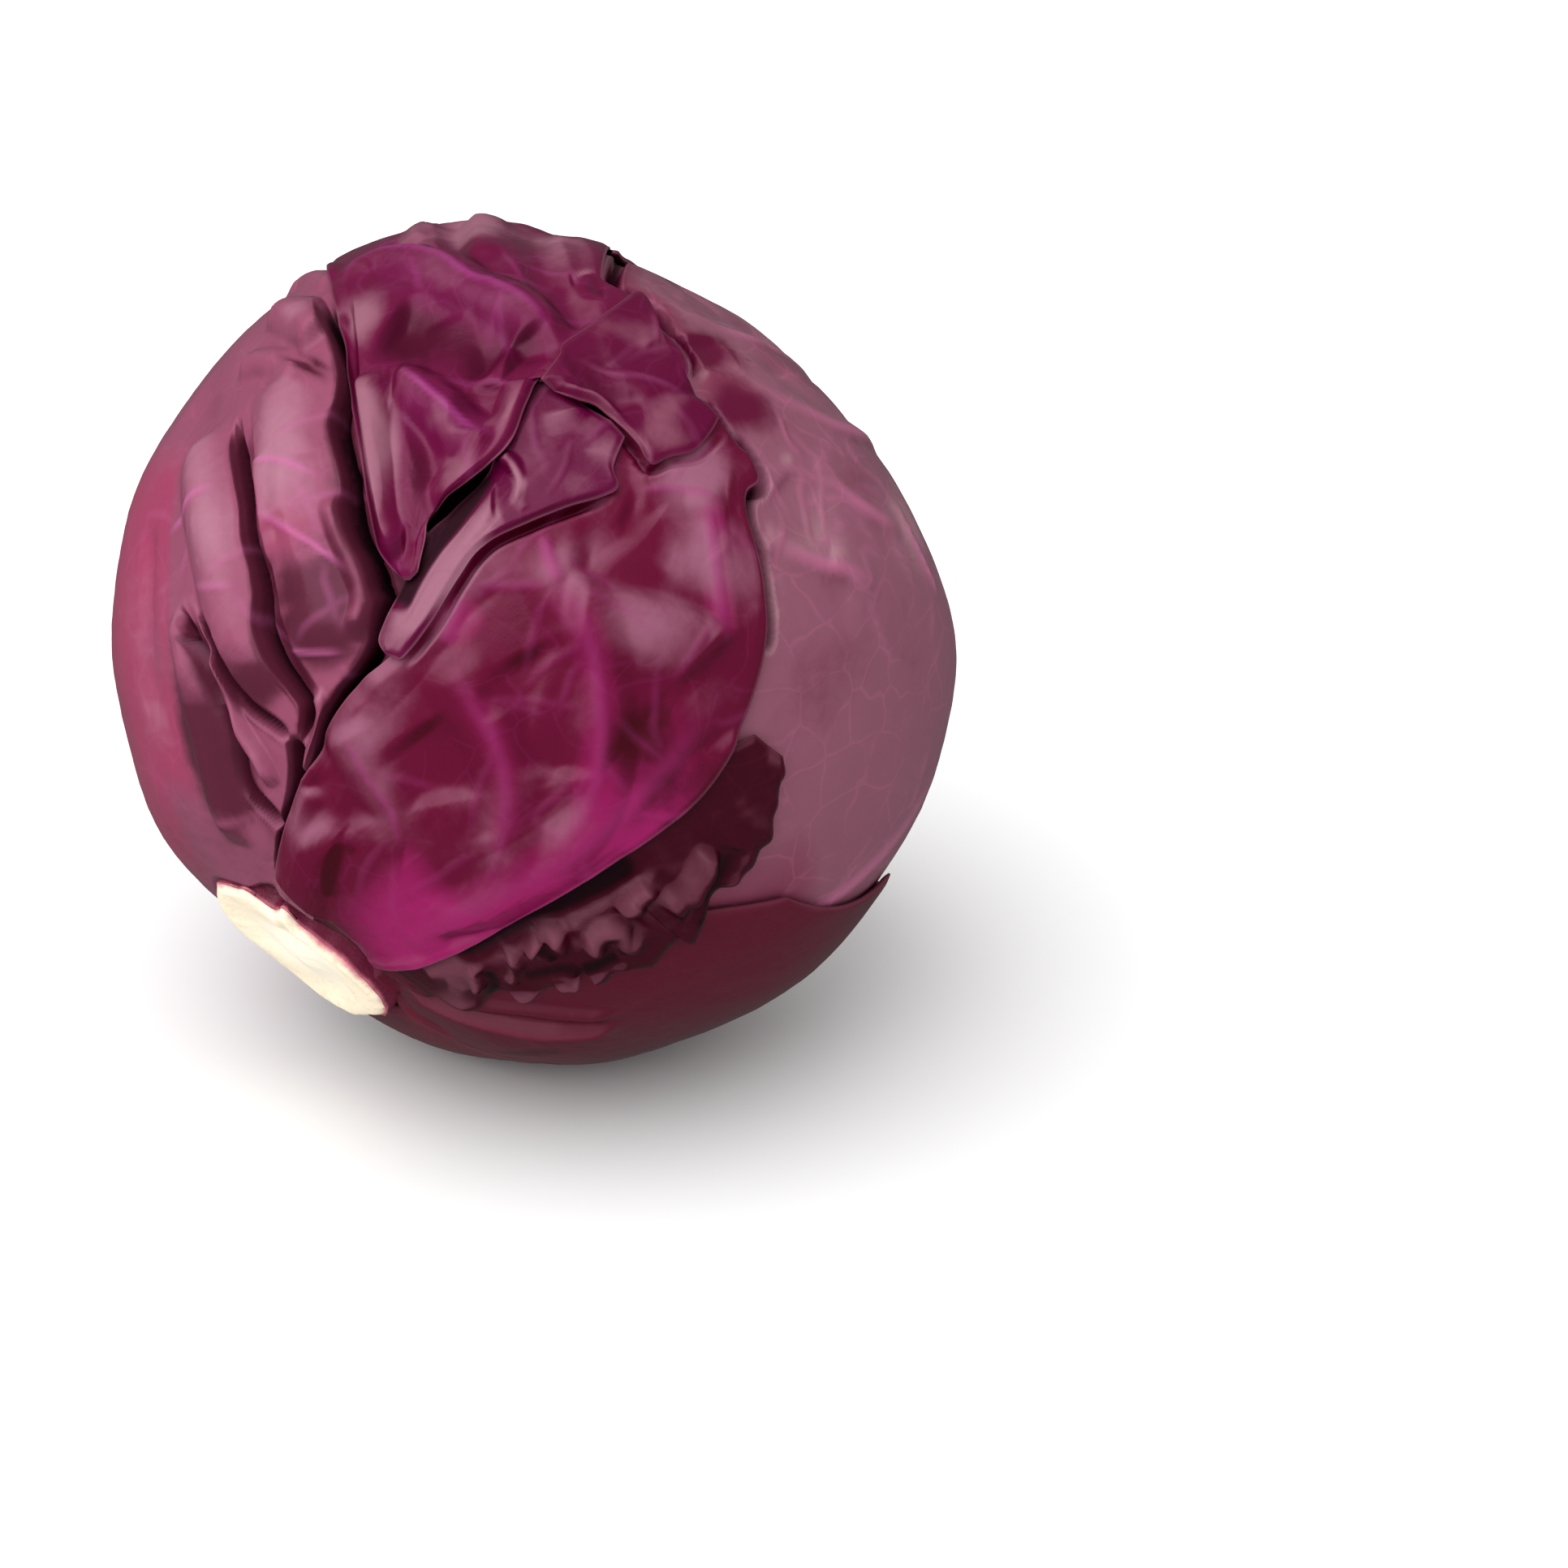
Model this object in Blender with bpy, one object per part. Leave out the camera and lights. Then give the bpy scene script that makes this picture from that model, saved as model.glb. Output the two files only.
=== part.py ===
"""Red cabbage: a whole head lying on its side, with its cut stem at the lower left.

Each leaf is one thin closed slab. A flat grid is given its thickness, and then every vertex goes
to its place by formula: across and along the leaf say in which direction from the middle of the
head it lies, and the folds, the shape of the head and the leaves below say how far out.
The leaves are laid on one after another from the inside, so that none of them touches another.
Lengths are in metres. The head rests on the plane z = 0, and it is seen along +Y.
"""
import math
from dataclasses import dataclass
from dataclasses import field

import bmesh
import bpy
import numpy as np
from mathutils import Matrix
from mathutils import Vector
from mathutils.bvhtree import BVHTree

# Driving sizes
HEAD_RADIUS = 0.080
REST_HEIGHT = 0.078
LEAF_THICKNESS = 0.0014
LEAF_GAP = 0.0004
HEART_SCALE = 0.82
STUMP_RADIUS = 0.0185
STUMP_FACE = 0.0755
STUMP_FOOT = 0.0615

# No leaf's foot comes closer to the stem's axis than this, so all end round the stump
FOOT_AWAY = math.radians(16.5)

# The stem's axis, as a turn about Z from +X and a dip below the horizontal
STEM_TURN = math.radians(224.5)
STEM_DIP = math.radians(35.7)

# How the photograph sees the head: elevation, distance, and the head's outline in its pixels
VIEW_ELEVATION = math.radians(25)
VIEW_DISTANCE = 1.0
PHOTO_MIDDLE = (660, 790)
PHOTO_RADIUS = 523
SIGHT_ROUNDS = 12

# The head is flatter round its top and, less so, close to the stem
TOP_FLATTENING = 0.095
TOP_FROM = math.radians(118)
TOP_TO = math.radians(158)
STEM_FLATTENING = 0.05
STEM_FROM = math.radians(32)
STEM_TO = math.radians(14)

# How the leaves are fitted over the ones below
SAMPLES_PER_CELL = 3
DRAPE_SLOPE = 0.45
FOOT_SHARE = 0.35
RAY_START = 0.2

# Shares of a fold's length over which it starts and ends
FOLD_END = 0.16
FOLD_POINTS = 28
CURVE_STEPS = 12

# A leaf starts as a flat slab of this side and thickness, before its vertices go to their places
SLAB_SIDE = 1.0
SLAB_DEPTH = 0.1

HEART_SIDES = 24
HEART_RINGS = 14
STUMP_SIDES = 28
STUMP_TAPER = 0.9
STUMP_LOBES = ((2, 0.05, 0.6), (3, 0.03, 2.1), (7, 0.02, 0.9))

ROUGHNESS = 0.42
HEART_COLOUR = (0.30, 0.05, 0.16)
STUMP_COLOUR = (0.95, 0.84, 0.62)

MIDDLE = np.array((0.0, 0.0, REST_HEIGHT))
VIEW_RIGHT = np.array((1.0, 0.0, 0.0))
VIEW_UP = np.array((0.0, math.sin(VIEW_ELEVATION), math.cos(VIEW_ELEVATION)))
VIEW_NEAR = np.array((0.0, -math.cos(VIEW_ELEVATION), math.sin(VIEW_ELEVATION)))
STEM = np.array((
    math.cos(STEM_DIP) * math.cos(STEM_TURN),
    math.cos(STEM_DIP) * math.sin(STEM_TURN),
    -math.sin(STEM_DIP),
))

COLLECTION = "red_cabbage"


@dataclass
class Fold:
    """A ridge, or a crevice where its height is negative, along a line on the head."""

    line: np.ndarray
    height: float
    left: float
    right: float


@dataclass
class Leaf:
    """One leaf: rails from its foot to its tip, margins included, how far out it lies, its folds."""

    name: str
    colour: tuple
    rails: list
    columns: tuple
    rows: int
    radius: float
    foot_radius: float
    folds: list = field(default_factory=list)
    ripple: float = 0.0008
    ruffle: float = 0.0
    ruffle_waves: float = 0.0
    flat: bool = False
    gather: float = 0.0


def unit(rows):
    return rows / np.linalg.norm(rows, axis=-1, keepdims=True)


def blend(start, end, values):
    share = np.clip((values - start) / (end - start), 0.0, 1.0)
    return share * share * (3.0 - 2.0 * share)


# The meridian that faces the viewer, and the one a quarter turn on
STEM_FRONT = unit(VIEW_NEAR - VIEW_NEAR.dot(STEM) * STEM)
STEM_SIDE = np.cross(STEM, STEM_FRONT)


def seen(*points):
    """Directions from the middle of the head to points measured in the photograph, in pixels.

    A point's line of sight meets the head where the head is as far out as its surface says there.
    """
    pixels = np.array(points, float)
    per_pixel = HEAD_RADIUS / math.sqrt(VIEW_DISTANCE ** 2 - HEAD_RADIUS ** 2) / PHOTO_RADIUS
    x = (pixels[:, 0] - PHOTO_MIDDLE[0]) * per_pixel
    y = (PHOTO_MIDDLE[1] - pixels[:, 1]) * per_pixel
    rays = x[:, None] * VIEW_RIGHT + y[:, None] * VIEW_UP - VIEW_NEAR
    eye = VIEW_NEAR * VIEW_DISTANCE
    a = (rays * rays).sum(axis=1)
    b = 2.0 * rays @ eye
    radius = np.full(len(pixels), HEAD_RADIUS)
    for _ in range(SIGHT_ROUNDS):
        root = np.maximum(b * b - 4.0 * a * (VIEW_DISTANCE ** 2 - radius ** 2), 0.0)
        directions = unit(eye + ((-b - np.sqrt(root)) / (2.0 * a))[:, None] * rays)
        radius = HEAD_RADIUS * head_scale(directions)
    return directions


def around(*points):
    """Directions given as degrees round the stem's axis and degrees away from the stem."""
    turn, away = np.radians(np.array(points, float)).T
    side = np.cos(turn)[:, None] * STEM_FRONT + np.sin(turn)[:, None] * STEM_SIDE
    return np.cos(away)[:, None] * STEM + np.sin(away)[:, None] * side


def path(*pieces):
    return np.vstack(pieces)


def smooth_curve(points, count):
    """Evenly spaced directions on a Catmull-Rom curve through the given ones."""
    padded = np.vstack((2 * points[0] - points[1], points, 2 * points[-1] - points[-2]))
    t = np.linspace(0.0, 1.0, CURVE_STEPS, endpoint=False)[:, None]
    dense = []
    for before, start, end, after in zip(padded, padded[1:], padded[2:], padded[3:]):
        bend = 2 * before - 5 * start + 4 * end - after
        rest = 3 * start - before - 3 * end + after
        dense.append(0.5 * (2 * start + (end - before) * t + bend * t ** 2 + rest * t ** 3))
    dense = unit(np.vstack(dense + [points[-1:]]))
    steps = np.linalg.norm(np.diff(dense, axis=0), axis=1)
    length = np.concatenate(([0.0], np.cumsum(steps)))
    wanted = np.linspace(0.0, length[-1], count)
    return unit(np.column_stack([np.interp(wanted, length, dense[:, i]) for i in range(3)]))


def to_chart(centre, first, second, directions):
    cosine = np.clip(directions @ centre, -1.0, 1.0)
    flat = directions - cosine[..., None] * centre
    scale = np.arccos(cosine) / np.maximum(np.linalg.norm(flat, axis=-1), 1e-9)
    return np.stack((flat @ first * scale, flat @ second * scale), axis=-1)


def from_chart(centre, first, second, places):
    angle = np.linalg.norm(places, axis=-1)
    spread = np.sinc(angle / math.pi)
    side = places[..., :1] * first + places[..., 1:] * second
    return np.cos(angle)[..., None] * centre + spread[..., None] * side


def leaf_directions(leaf):
    """A net of directions: its lines run along the leaf's rails, and closer together beside them."""
    centre = unit(np.vstack((leaf.rails[0], leaf.rails[-1])).mean(axis=0))
    first = unit(np.cross(centre, STEM))
    second = np.cross(centre, first)
    rails = [to_chart(centre, first, second, smooth_curve(rail, leaf.rows + 1)) for rail in leaf.rails]
    lines = []
    for start, end, count in zip(rails, rails[1:], leaf.columns):
        even = np.arange(count) / count
        close = 0.5 - 0.5 * np.cos(math.pi * even)
        lines.extend(start + (end - start) * step for step in even + (close - even) * leaf.gather)
    lines.append(rails[-1])
    return clear_stem(from_chart(centre, first, second, np.stack(lines)))


def clear_stem(net):
    """Move the foot of the net out to a round edge about the stump, and what follows less."""
    away = np.arccos(np.clip(net @ STEM, -1.0, 1.0))
    side = unit(net - (net @ STEM)[..., None] * STEM)
    share = np.linspace(0.0, 1.0, net.shape[1])[None, :]
    away = away + np.maximum(FOOT_AWAY - away[:, :1], 0.0) * (1.0 - share) ** 2
    return np.cos(away)[..., None] * STEM + np.sin(away)[..., None] * side


def fold_relief(directions, folds):
    """Ridges add up, and of the crevices the deepest counts."""
    rise = np.zeros(directions.shape[:-1])
    drop = np.zeros(directions.shape[:-1])
    for fold in folds:
        line = smooth_curve(fold.line, FOLD_POINTS)
        best = np.full(rise.shape, np.inf)
        side = np.zeros(rise.shape)
        share = np.zeros(rise.shape)
        for index, (start, end) in enumerate(zip(line, line[1:])):
            run = end - start
            part = np.clip((directions - start) @ run / run.dot(run), 0.0, 1.0)
            away = directions - start - part[..., None] * run
            distance = np.linalg.norm(away, axis=-1)
            closer = distance < best
            best[closer] = distance[closer]
            side[closer] = (np.cross(run, directions - start) @ start)[closer]
            share[closer] = (index + part[closer]) / (FOLD_POINTS - 1)
        width = np.where(side > 0.0, fold.left, fold.right)
        near = np.clip(1.0 - (best * HEAD_RADIUS / width) ** 2, 0.0, 1.0) ** 2
        ends = blend(0.0, FOLD_END, share) * blend(0.0, FOLD_END, 1.0 - share)
        if fold.height > 0:
            rise += fold.height * near * ends
        else:
            drop = np.minimum(drop, fold.height * near * ends)
    return rise + drop


def head_scale(directions):
    """How far out the head's surface is in each direction, as a share of its radius."""
    away = np.arccos(np.clip(directions @ STEM, -1.0, 1.0))
    top = TOP_FLATTENING * blend(TOP_FROM, TOP_TO, away)
    foot = STEM_FLATTENING * blend(-STEM_FROM, -STEM_TO, -away)
    return 1.0 - top - foot


def ripples(directions):
    """Gentle unevenness between -1 and 1, the same on every run."""
    waves = ((9.0, 4.0, -7.0, 0.4), (-5.0, 11.0, 6.0, 1.9), (12.0, -8.0, 9.0, 3.1), (3.0, 7.0, 14.0, 5.0))
    total = sum(np.sin(directions @ np.array(wave[:3]) + wave[3]) for wave in waves)
    return total / len(waves)


def ray_radius(tree, directions):
    """How far out the leaves laid so far reach in each direction."""
    flat = directions.reshape(-1, 3)
    reach = np.zeros(len(flat))
    middle = Vector(MIDDLE)
    for index, direction in enumerate(flat):
        outward = Vector(direction)
        hit = tree.ray_cast(middle + outward * RAY_START, -outward)
        if hit[0] is not None:
            reach[index] = RAY_START - hit[3]
    return reach.reshape(directions.shape[:-1])


def refine(net, samples):
    """The net's directions, with straight steps between them as the facets have."""
    rows = np.linspace(0, net.shape[0] - 1, (net.shape[0] - 1) * samples + 1)
    low = np.minimum(rows.astype(int), net.shape[0] - 2)
    part = (rows - low)[:, None, None]
    return net[low] * (1 - part) + net[low + 1] * part


def drape_radius(tree, net):
    """The least radius at each vertex that clears the leaves below, with gentle slopes."""
    fine = refine(net, SAMPLES_PER_CELL)
    fine = refine(fine.swapaxes(0, 1), SAMPLES_PER_CELL).swapaxes(0, 1)
    reach = ray_radius(tree, unit(fine))
    wide = np.pad(reach, SAMPLES_PER_CELL, mode="edge")
    window = 2 * SAMPLES_PER_CELL + 1
    views = np.lib.stride_tricks.sliding_window_view(wide, (window, window))
    radius = views[::SAMPLES_PER_CELL, ::SAMPLES_PER_CELL].max(axis=(2, 3))
    step_u = np.linalg.norm(net[1:] - net[:-1], axis=-1) * HEAD_RADIUS * DRAPE_SLOPE
    step_v = np.linalg.norm(net[:, 1:] - net[:, :-1], axis=-1) * HEAD_RADIUS * DRAPE_SLOPE
    for _ in range(max(net.shape[:2])):
        radius[1:] = np.maximum(radius[1:], radius[:-1] - step_u)
        radius[:-1] = np.maximum(radius[:-1], radius[1:] - step_u)
        radius[:, 1:] = np.maximum(radius[:, 1:], radius[:, :-1] - step_v)
        radius[:, :-1] = np.maximum(radius[:, :-1], radius[:, 1:] - step_v)
    return radius


def facet_sag(net):
    """How far the middle of the net's largest facet dips below the round."""
    wide = np.linalg.norm(net[1:, 1:] - net[:-1, :-1], axis=-1).max()
    cross = np.linalg.norm(net[1:, :-1] - net[:-1, 1:], axis=-1).max()
    return HEAD_RADIUS * max(wide, cross) ** 2 / 8


def leaf_radius(leaf, net, tree):
    """How far out the leaf's outer face lies at each vertex of its net."""
    share = np.linspace(0.0, 1.0, net.shape[1])[None, :]
    across = np.linspace(0.0, 1.0, net.shape[0])[:, None]
    own = leaf.foot_radius + (leaf.radius - leaf.foot_radius) * blend(0.0, FOOT_SHARE, share)
    own = own * head_scale(net) + leaf.ripple * ripples(net) + fold_relief(net, leaf.folds)
    wave = 0.5 + 0.5 * np.sin(2.0 * math.pi * leaf.ruffle_waves * share)
    own = own + leaf.ruffle * wave * blend(0.35, 1.0, across)
    return np.maximum(own, drape_radius(tree, net) + LEAF_GAP + facet_sag(net) + LEAF_THICKNESS)


def material(name, colour):
    made = bpy.data.materials.new(name)
    made.use_nodes = True
    shader = made.node_tree.nodes["Principled BSDF"]
    shader.inputs["Base Color"].default_value = (*colour, 1.0)
    shader.inputs["Roughness"].default_value = ROUGHNESS
    shader.inputs["Metallic"].default_value = 0.0
    return made


def add_object(name, mesh, colour):
    mesh.materials.append(material(name, colour))
    made = bpy.data.objects.new(name, mesh)
    bpy.data.collections[COLLECTION].objects.link(made)
    return made


def world_tree(objects):
    """One search tree over all the given objects, in world space."""
    points = []
    faces = []
    for item in objects:
        start = len(points)
        points.extend(item.matrix_world @ vertex.co for vertex in item.data.vertices)
        faces.extend([start + index for index in face.vertices] for face in item.data.polygons)
    return BVHTree.FromPolygons(points, faces)


def add_leaf(leaf, below):
    """A slab on a flat grid, both faces split alike, moved to its place on the head."""
    net = leaf_directions(leaf)
    across, along = net.shape[0] - 1, net.shape[1] - 1
    radius = leaf_radius(leaf, net, world_tree(below))
    mesh = bpy.data.meshes.new(leaf.name)
    bm = bmesh.new()
    bmesh.ops.create_grid(bm, x_segments=across, y_segments=along, size=SLAB_SIDE / 2)
    bmesh.ops.triangulate(bm, faces=bm.faces[:])
    bmesh.ops.solidify(bm, geom=bm.faces[:] + bm.edges[:] + bm.verts[:], thickness=SLAB_DEPTH)
    middle_height = sum(vertex.co.z for vertex in bm.verts) / len(bm.verts)
    for vertex in bm.verts:
        i = round((vertex.co.x / SLAB_SIDE + 0.5) * across)
        j = round((vertex.co.y / SLAB_SIDE + 0.5) * along)
        inner = vertex.co.z < middle_height
        out = radius[i, j] - (LEAF_THICKNESS if inner else 0.0)
        vertex.co = Vector(MIDDLE + net[i, j] * out)
        if leaf.flat:
            vertex.co.z = max(vertex.co.z, LEAF_THICKNESS if inner else 0.0)
    bmesh.ops.triangulate(bm, faces=bm.faces[:])
    bmesh.ops.recalc_face_normals(bm, faces=bm.faces[:])
    bm.to_mesh(mesh)
    bm.free()
    return add_object(leaf.name, mesh, leaf.colour)


def add_heart():
    """The packed inner leaves, as one smooth body flattened along the stem's axis."""
    mesh = bpy.data.meshes.new("heart")
    bm = bmesh.new()
    bmesh.ops.create_uvsphere(bm, u_segments=HEART_SIDES, v_segments=HEART_RINGS, radius=HEAD_RADIUS)
    squash = Matrix.Diagonal((HEART_SCALE, HEART_SCALE, HEART_SCALE * (1 - TOP_FLATTENING), 1))
    turn = Vector((0, 0, 1)).rotation_difference(Vector(STEM)).to_matrix().to_4x4()
    bmesh.ops.transform(bm, matrix=Matrix.Translation(MIDDLE) @ turn @ squash, verts=bm.verts[:])
    bmesh.ops.triangulate(bm, faces=bm.faces[:])
    bm.to_mesh(mesh)
    bm.free()
    return add_object("heart", mesh, HEART_COLOUR)


def add_stump():
    """The cut stem: a short round post with a slightly lobed outline."""
    mesh = bpy.data.meshes.new("stump")
    bm = bmesh.new()
    length = STUMP_FACE - STUMP_FOOT
    bmesh.ops.create_cone(
        bm, cap_ends=True, cap_tris=False, segments=STUMP_SIDES,
        radius1=STUMP_RADIUS * STUMP_TAPER, radius2=STUMP_RADIUS, depth=length)
    for vertex in bm.verts:
        turn = math.atan2(vertex.co.y, vertex.co.x)
        lobes = 1.0 + sum(size * math.cos(count * turn + shift) for count, size, shift in STUMP_LOBES)
        vertex.co.x *= lobes
        vertex.co.y *= lobes
    turn = Vector((0, 0, 1)).rotation_difference(Vector(STEM)).to_matrix().to_4x4()
    place = Matrix.Translation(MIDDLE + STEM * (STUMP_FOOT + length / 2))
    bmesh.ops.transform(bm, matrix=place @ turn, verts=bm.verts[:])
    bm.to_mesh(mesh)
    bm.free()
    return add_object("stump", mesh, STUMP_COLOUR)


def right_leaf():
    """Its left margin runs under the crown leaf, the tip flap and the front leaf."""
    return Leaf(
        name="right_leaf", colour=(0.23, 0.075, 0.115), radius=0.0790, foot_radius=0.0755,
        columns=(10, 8), rows=18,
        rails=[
            path(around((-22, 24), (-14, 50)), seen((700, 760), (800, 640), (812, 560), (780, 480)),
                 seen((752, 430), (735, 385), (720, 335)), around((56, 140), (78, 154), (110, 163))),
            path(around((-48, 22), (-46, 50), (-44, 80)), seen((1010, 560), (960, 470), (900, 410)),
                 around((-2, 166), (165, 176), (165, 166))),
            around((-84, 18), (-96, 40), (-104, 65), (-108, 90), (-112, 115), (-122, 140), (-150, 157),
                   (-175, 160)),
        ],
        folds=[
            Fold(seen((901, 480), (946, 480), (988, 501), (1045, 529), (1084, 552), (1117, 585)),
                 0.0012, 0.006, 0.006),
            Fold(seen((832, 372), (859, 384), (922, 414), (970, 435)), 0.0010, 0.006, 0.006),
            Fold(seen((1000, 558), (1045, 609), (1090, 639), (1114, 648)), 0.0010, 0.006, 0.006),
            Fold(seen((940, 657), (988, 684), (1045, 702), (1087, 723)), 0.0012, 0.006, 0.006),
            Fold(seen((768, 318), (790, 350), (820, 390), (852, 420), (862, 470)), 0.0014, 0.005, 0.005),
            Fold(around((-95, 20), (-101, 50), (-108, 80), (-112, 110)), -0.0035, 0.014, 0.014),
        ])


def back_leaf():
    return Leaf(
        name="back_leaf", colour=(0.26, 0.06, 0.13), radius=0.0762, foot_radius=0.0745,
        columns=(12,), rows=13,
        rails=[
            around((150, 20), (140, 45), (128, 75), (118, 105), (112, 135), (120, 158)),
            around((-155, 20), (-150, 45), (-142, 75), (-135, 105), (-130, 135), (-150, 160)),
        ],
        folds=[
            Fold(around((-178, 20), (179, 60), (176, 100), (170, 145)), 0.0016, 0.009, 0.009),
            Fold(around((-178, 40), (-165, 75), (-150, 105)), 0.0012, 0.009, 0.009),
            Fold(around((180, 60), (163, 90), (145, 115)), 0.0012, 0.009, 0.009),
        ])


def rear_leaf():
    return Leaf(
        name="rear_leaf", colour=(0.24, 0.07, 0.12), radius=0.0755, foot_radius=0.0755,
        columns=(12,), rows=13,
        rails=[
            around((-62, 105), (-45, 125), (-20, 140), (30, 140), (66, 128), (88, 108)),
            around((-125, 95), (-150, 100), (178, 102), (150, 98), (122, 88)),
        ],
        folds=[
            Fold(around((-95, 115), (-130, 140), (-170, 150), (130, 150)), 0.0014, 0.009, 0.009),
        ])


def under_leaf():
    return Leaf(
        name="under_leaf", colour=(0.115, 0.012, 0.03), radius=0.0800, foot_radius=0.0775,
        columns=(4, 4, 9), rows=14, flat=True, ripple=0.0005,
        rails=[
            around((-20, 18), (-30, 33), (-38, 48), (-46, 62), (-56, 74)),
            around((-56, 17), (-62, 40), (-70, 65), (-80, 91)),
            around((-92, 18), (-98, 38), (-106, 60), (-112, 82), (-116, 104)),
            around((-172, 18), (-178, 38), (178, 62), (178, 86), (-178, 102)),
        ],
        folds=[
            Fold(seen((500, 1230), (560, 1250), (600, 1270), (700, 1285)), 0.0014, 0.007, 0.007),
            Fold(seen((560, 1215), (650, 1245), (760, 1250)), 0.0010, 0.006, 0.006),
        ])


def ruffled_leaf():
    return Leaf(
        name="ruffled_leaf", colour=(0.10, 0.012, 0.04), radius=0.0795, foot_radius=0.0780,
        columns=(8,), rows=24, ruffle=0.0030, ruffle_waves=6.5, ripple=0.0012,
        rails=[
            path(around((26, 17), (14, 30), (0, 45), (-12, 58)), seen((850, 940), (930, 905))),
            seen((505, 1215), (520, 1236), (560, 1240), (600, 1246), (640, 1226), (700, 1226), (760, 1206),
                 (800, 1195), (860, 1150), (920, 1070), (955, 985), (960, 930)),
        ],
        folds=[
            Fold(seen((560, 1205), (610, 1165), (632, 1170)), 0.0020, 0.005, 0.005),
            Fold(seen((655, 1150), (672, 1140), (690, 1155)), 0.0020, 0.005, 0.005),
            Fold(seen((740, 1135), (760, 1150), (790, 1110)), 0.0020, 0.005, 0.005),
        ])


def left_leaf():
    """The rails follow the pleats: the crevices lie on the third, fourth and fifth."""
    return Leaf(
        name="left_leaf", colour=(0.42, 0.17, 0.25), radius=0.0800, foot_radius=0.0785,
        columns=(4, 8, 7, 7, 4), rows=26, gather=0.75,
        rails=[
            around((150, 19), (146, 40), (140, 62), (132, 85), (122, 104), (108, 120)),
            around((112, 17), (106, 34), (100, 50), (92, 66), (86, 82), (84, 96), (88, 116)),
            path(around((46, 17)), seen((322, 1050), (300, 985), (286, 915), (268, 840), (240, 775)),
                 seen((222, 725), (228, 640), (250, 560), (285, 470), (330, 378)), around((84, 112))),
            path(around((26, 21)), seen((345, 1060), (362, 985), (374, 915), (376, 856), (332, 775)),
                 seen((310, 690), (301, 620), (295, 560), (294, 490), (322, 410), (352, 358)),
                 around((84, 116))),
            path(around((14, 21)), seen((375, 1060), (392, 960), (418, 868), (470, 797), (487, 738)),
                 seen((460, 685), (441, 630), (430, 565), (420, 505), (422, 450), (408, 395), (396, 352)),
                 around((84, 120))),
            path(around((4, 21)), seen((430, 985), (465, 900), (520, 810), (545, 740), (520, 640)),
                 seen((490, 520), (465, 430), (440, 362)), around((82, 124))),
        ],
        folds=[
            Fold(seen((400, 366), (422, 440), (420, 510), (434, 590), (444, 640), (474, 708), (488, 745)),
                 -0.0100, 0.015, 0.0042),
            Fold(seen((484, 740), (462, 802), (410, 866), (388, 945), (376, 990)), -0.0080, 0.012, 0.0040),
            Fold(seen((292, 460), (295, 540), (302, 640), (322, 750), (362, 832), (376, 862), (368, 925)),
                 -0.0090, 0.006, 0.0036),
            Fold(seen((224, 742), (254, 800), (278, 870), (289, 950), (330, 1010), (352, 1040)),
                 -0.0085, 0.006, 0.0036),
            Fold(seen((352, 905), (358, 965), (350, 1010), (342, 1080)), -0.0060, 0.008, 0.0040),
            Fold(seen((318, 424), (352, 432), (385, 444), (415, 462)), -0.0034, 0.004, 0.004),
            Fold(seen((178, 700), (182, 770), (190, 850), (198, 950)), -0.0016, 0.006, 0.006),
            Fold(seen((350, 445), (352, 540), (372, 640), (394, 740), (402, 830)), 0.0024, 0.009, 0.009),
            Fold(seen((252, 570), (262, 680), (290, 770), (345, 862)), 0.0022, 0.006, 0.006),
            Fold(seen((240, 800), (246, 880), (254, 960), (290, 1050)), 0.0022, 0.006, 0.006),
            Fold(seen((358, 350), (378, 390), (398, 430)), 0.0024, 0.006, 0.006),
        ])


def front_leaf():
    """A midrib low down, with veins that arch up from it. Its upper margin runs under the inner leaf."""
    return Leaf(
        name="front_leaf", colour=(0.17, 0.012, 0.055), radius=0.0805, foot_radius=0.0775,
        columns=(20,), rows=22,
        rails=[
            path(seen((372, 1092), (345, 1070), (348, 1025), (368, 970), (395, 925), (420, 872)),
                 seen((488, 802), (530, 738), (572, 672), (616, 622), (690, 552), (780, 508), (893, 525))),
            path(seen((462, 1188), (510, 1186), (560, 1170), (650, 1125), (740, 1070), (800, 1030)),
                 seen((880, 960), (930, 880), (942, 800), (940, 725), (920, 640), (934, 590), (920, 560))),
        ],
        folds=[
            Fold(seen((470, 1180), (560, 1145), (700, 1070), (800, 960), (900, 830)), 0.0014, 0.007, 0.007),
            Fold(seen((668, 660), (700, 740), (732, 830), (735, 930), (706, 1013), (650, 1070)),
                 0.0012, 0.006, 0.006),
            Fold(seen((545, 800), (590, 870), (625, 977), (590, 1080)), 0.0012, 0.006, 0.006),
            Fold(seen((420, 888), (456, 955), (487, 1000)), 0.0012, 0.006, 0.006),
            Fold(seen((692, 727), (745, 734), (799, 749), (858, 772), (893, 805)), 0.0022, 0.006, 0.011),
            Fold(seen((700, 695), (780, 712), (870, 745)), -0.0014, 0.007, 0.007),
            Fold(seen((780, 606), (850, 606), (905, 618)), 0.0012, 0.006, 0.006),
            Fold(seen((450, 1038), (412, 1046), (406, 1080), (408, 1112)), -0.0028, 0.006, 0.004),
            Fold(seen((380, 980), (370, 1030), (368, 1080)), 0.0018, 0.005, 0.005),
        ])


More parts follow.
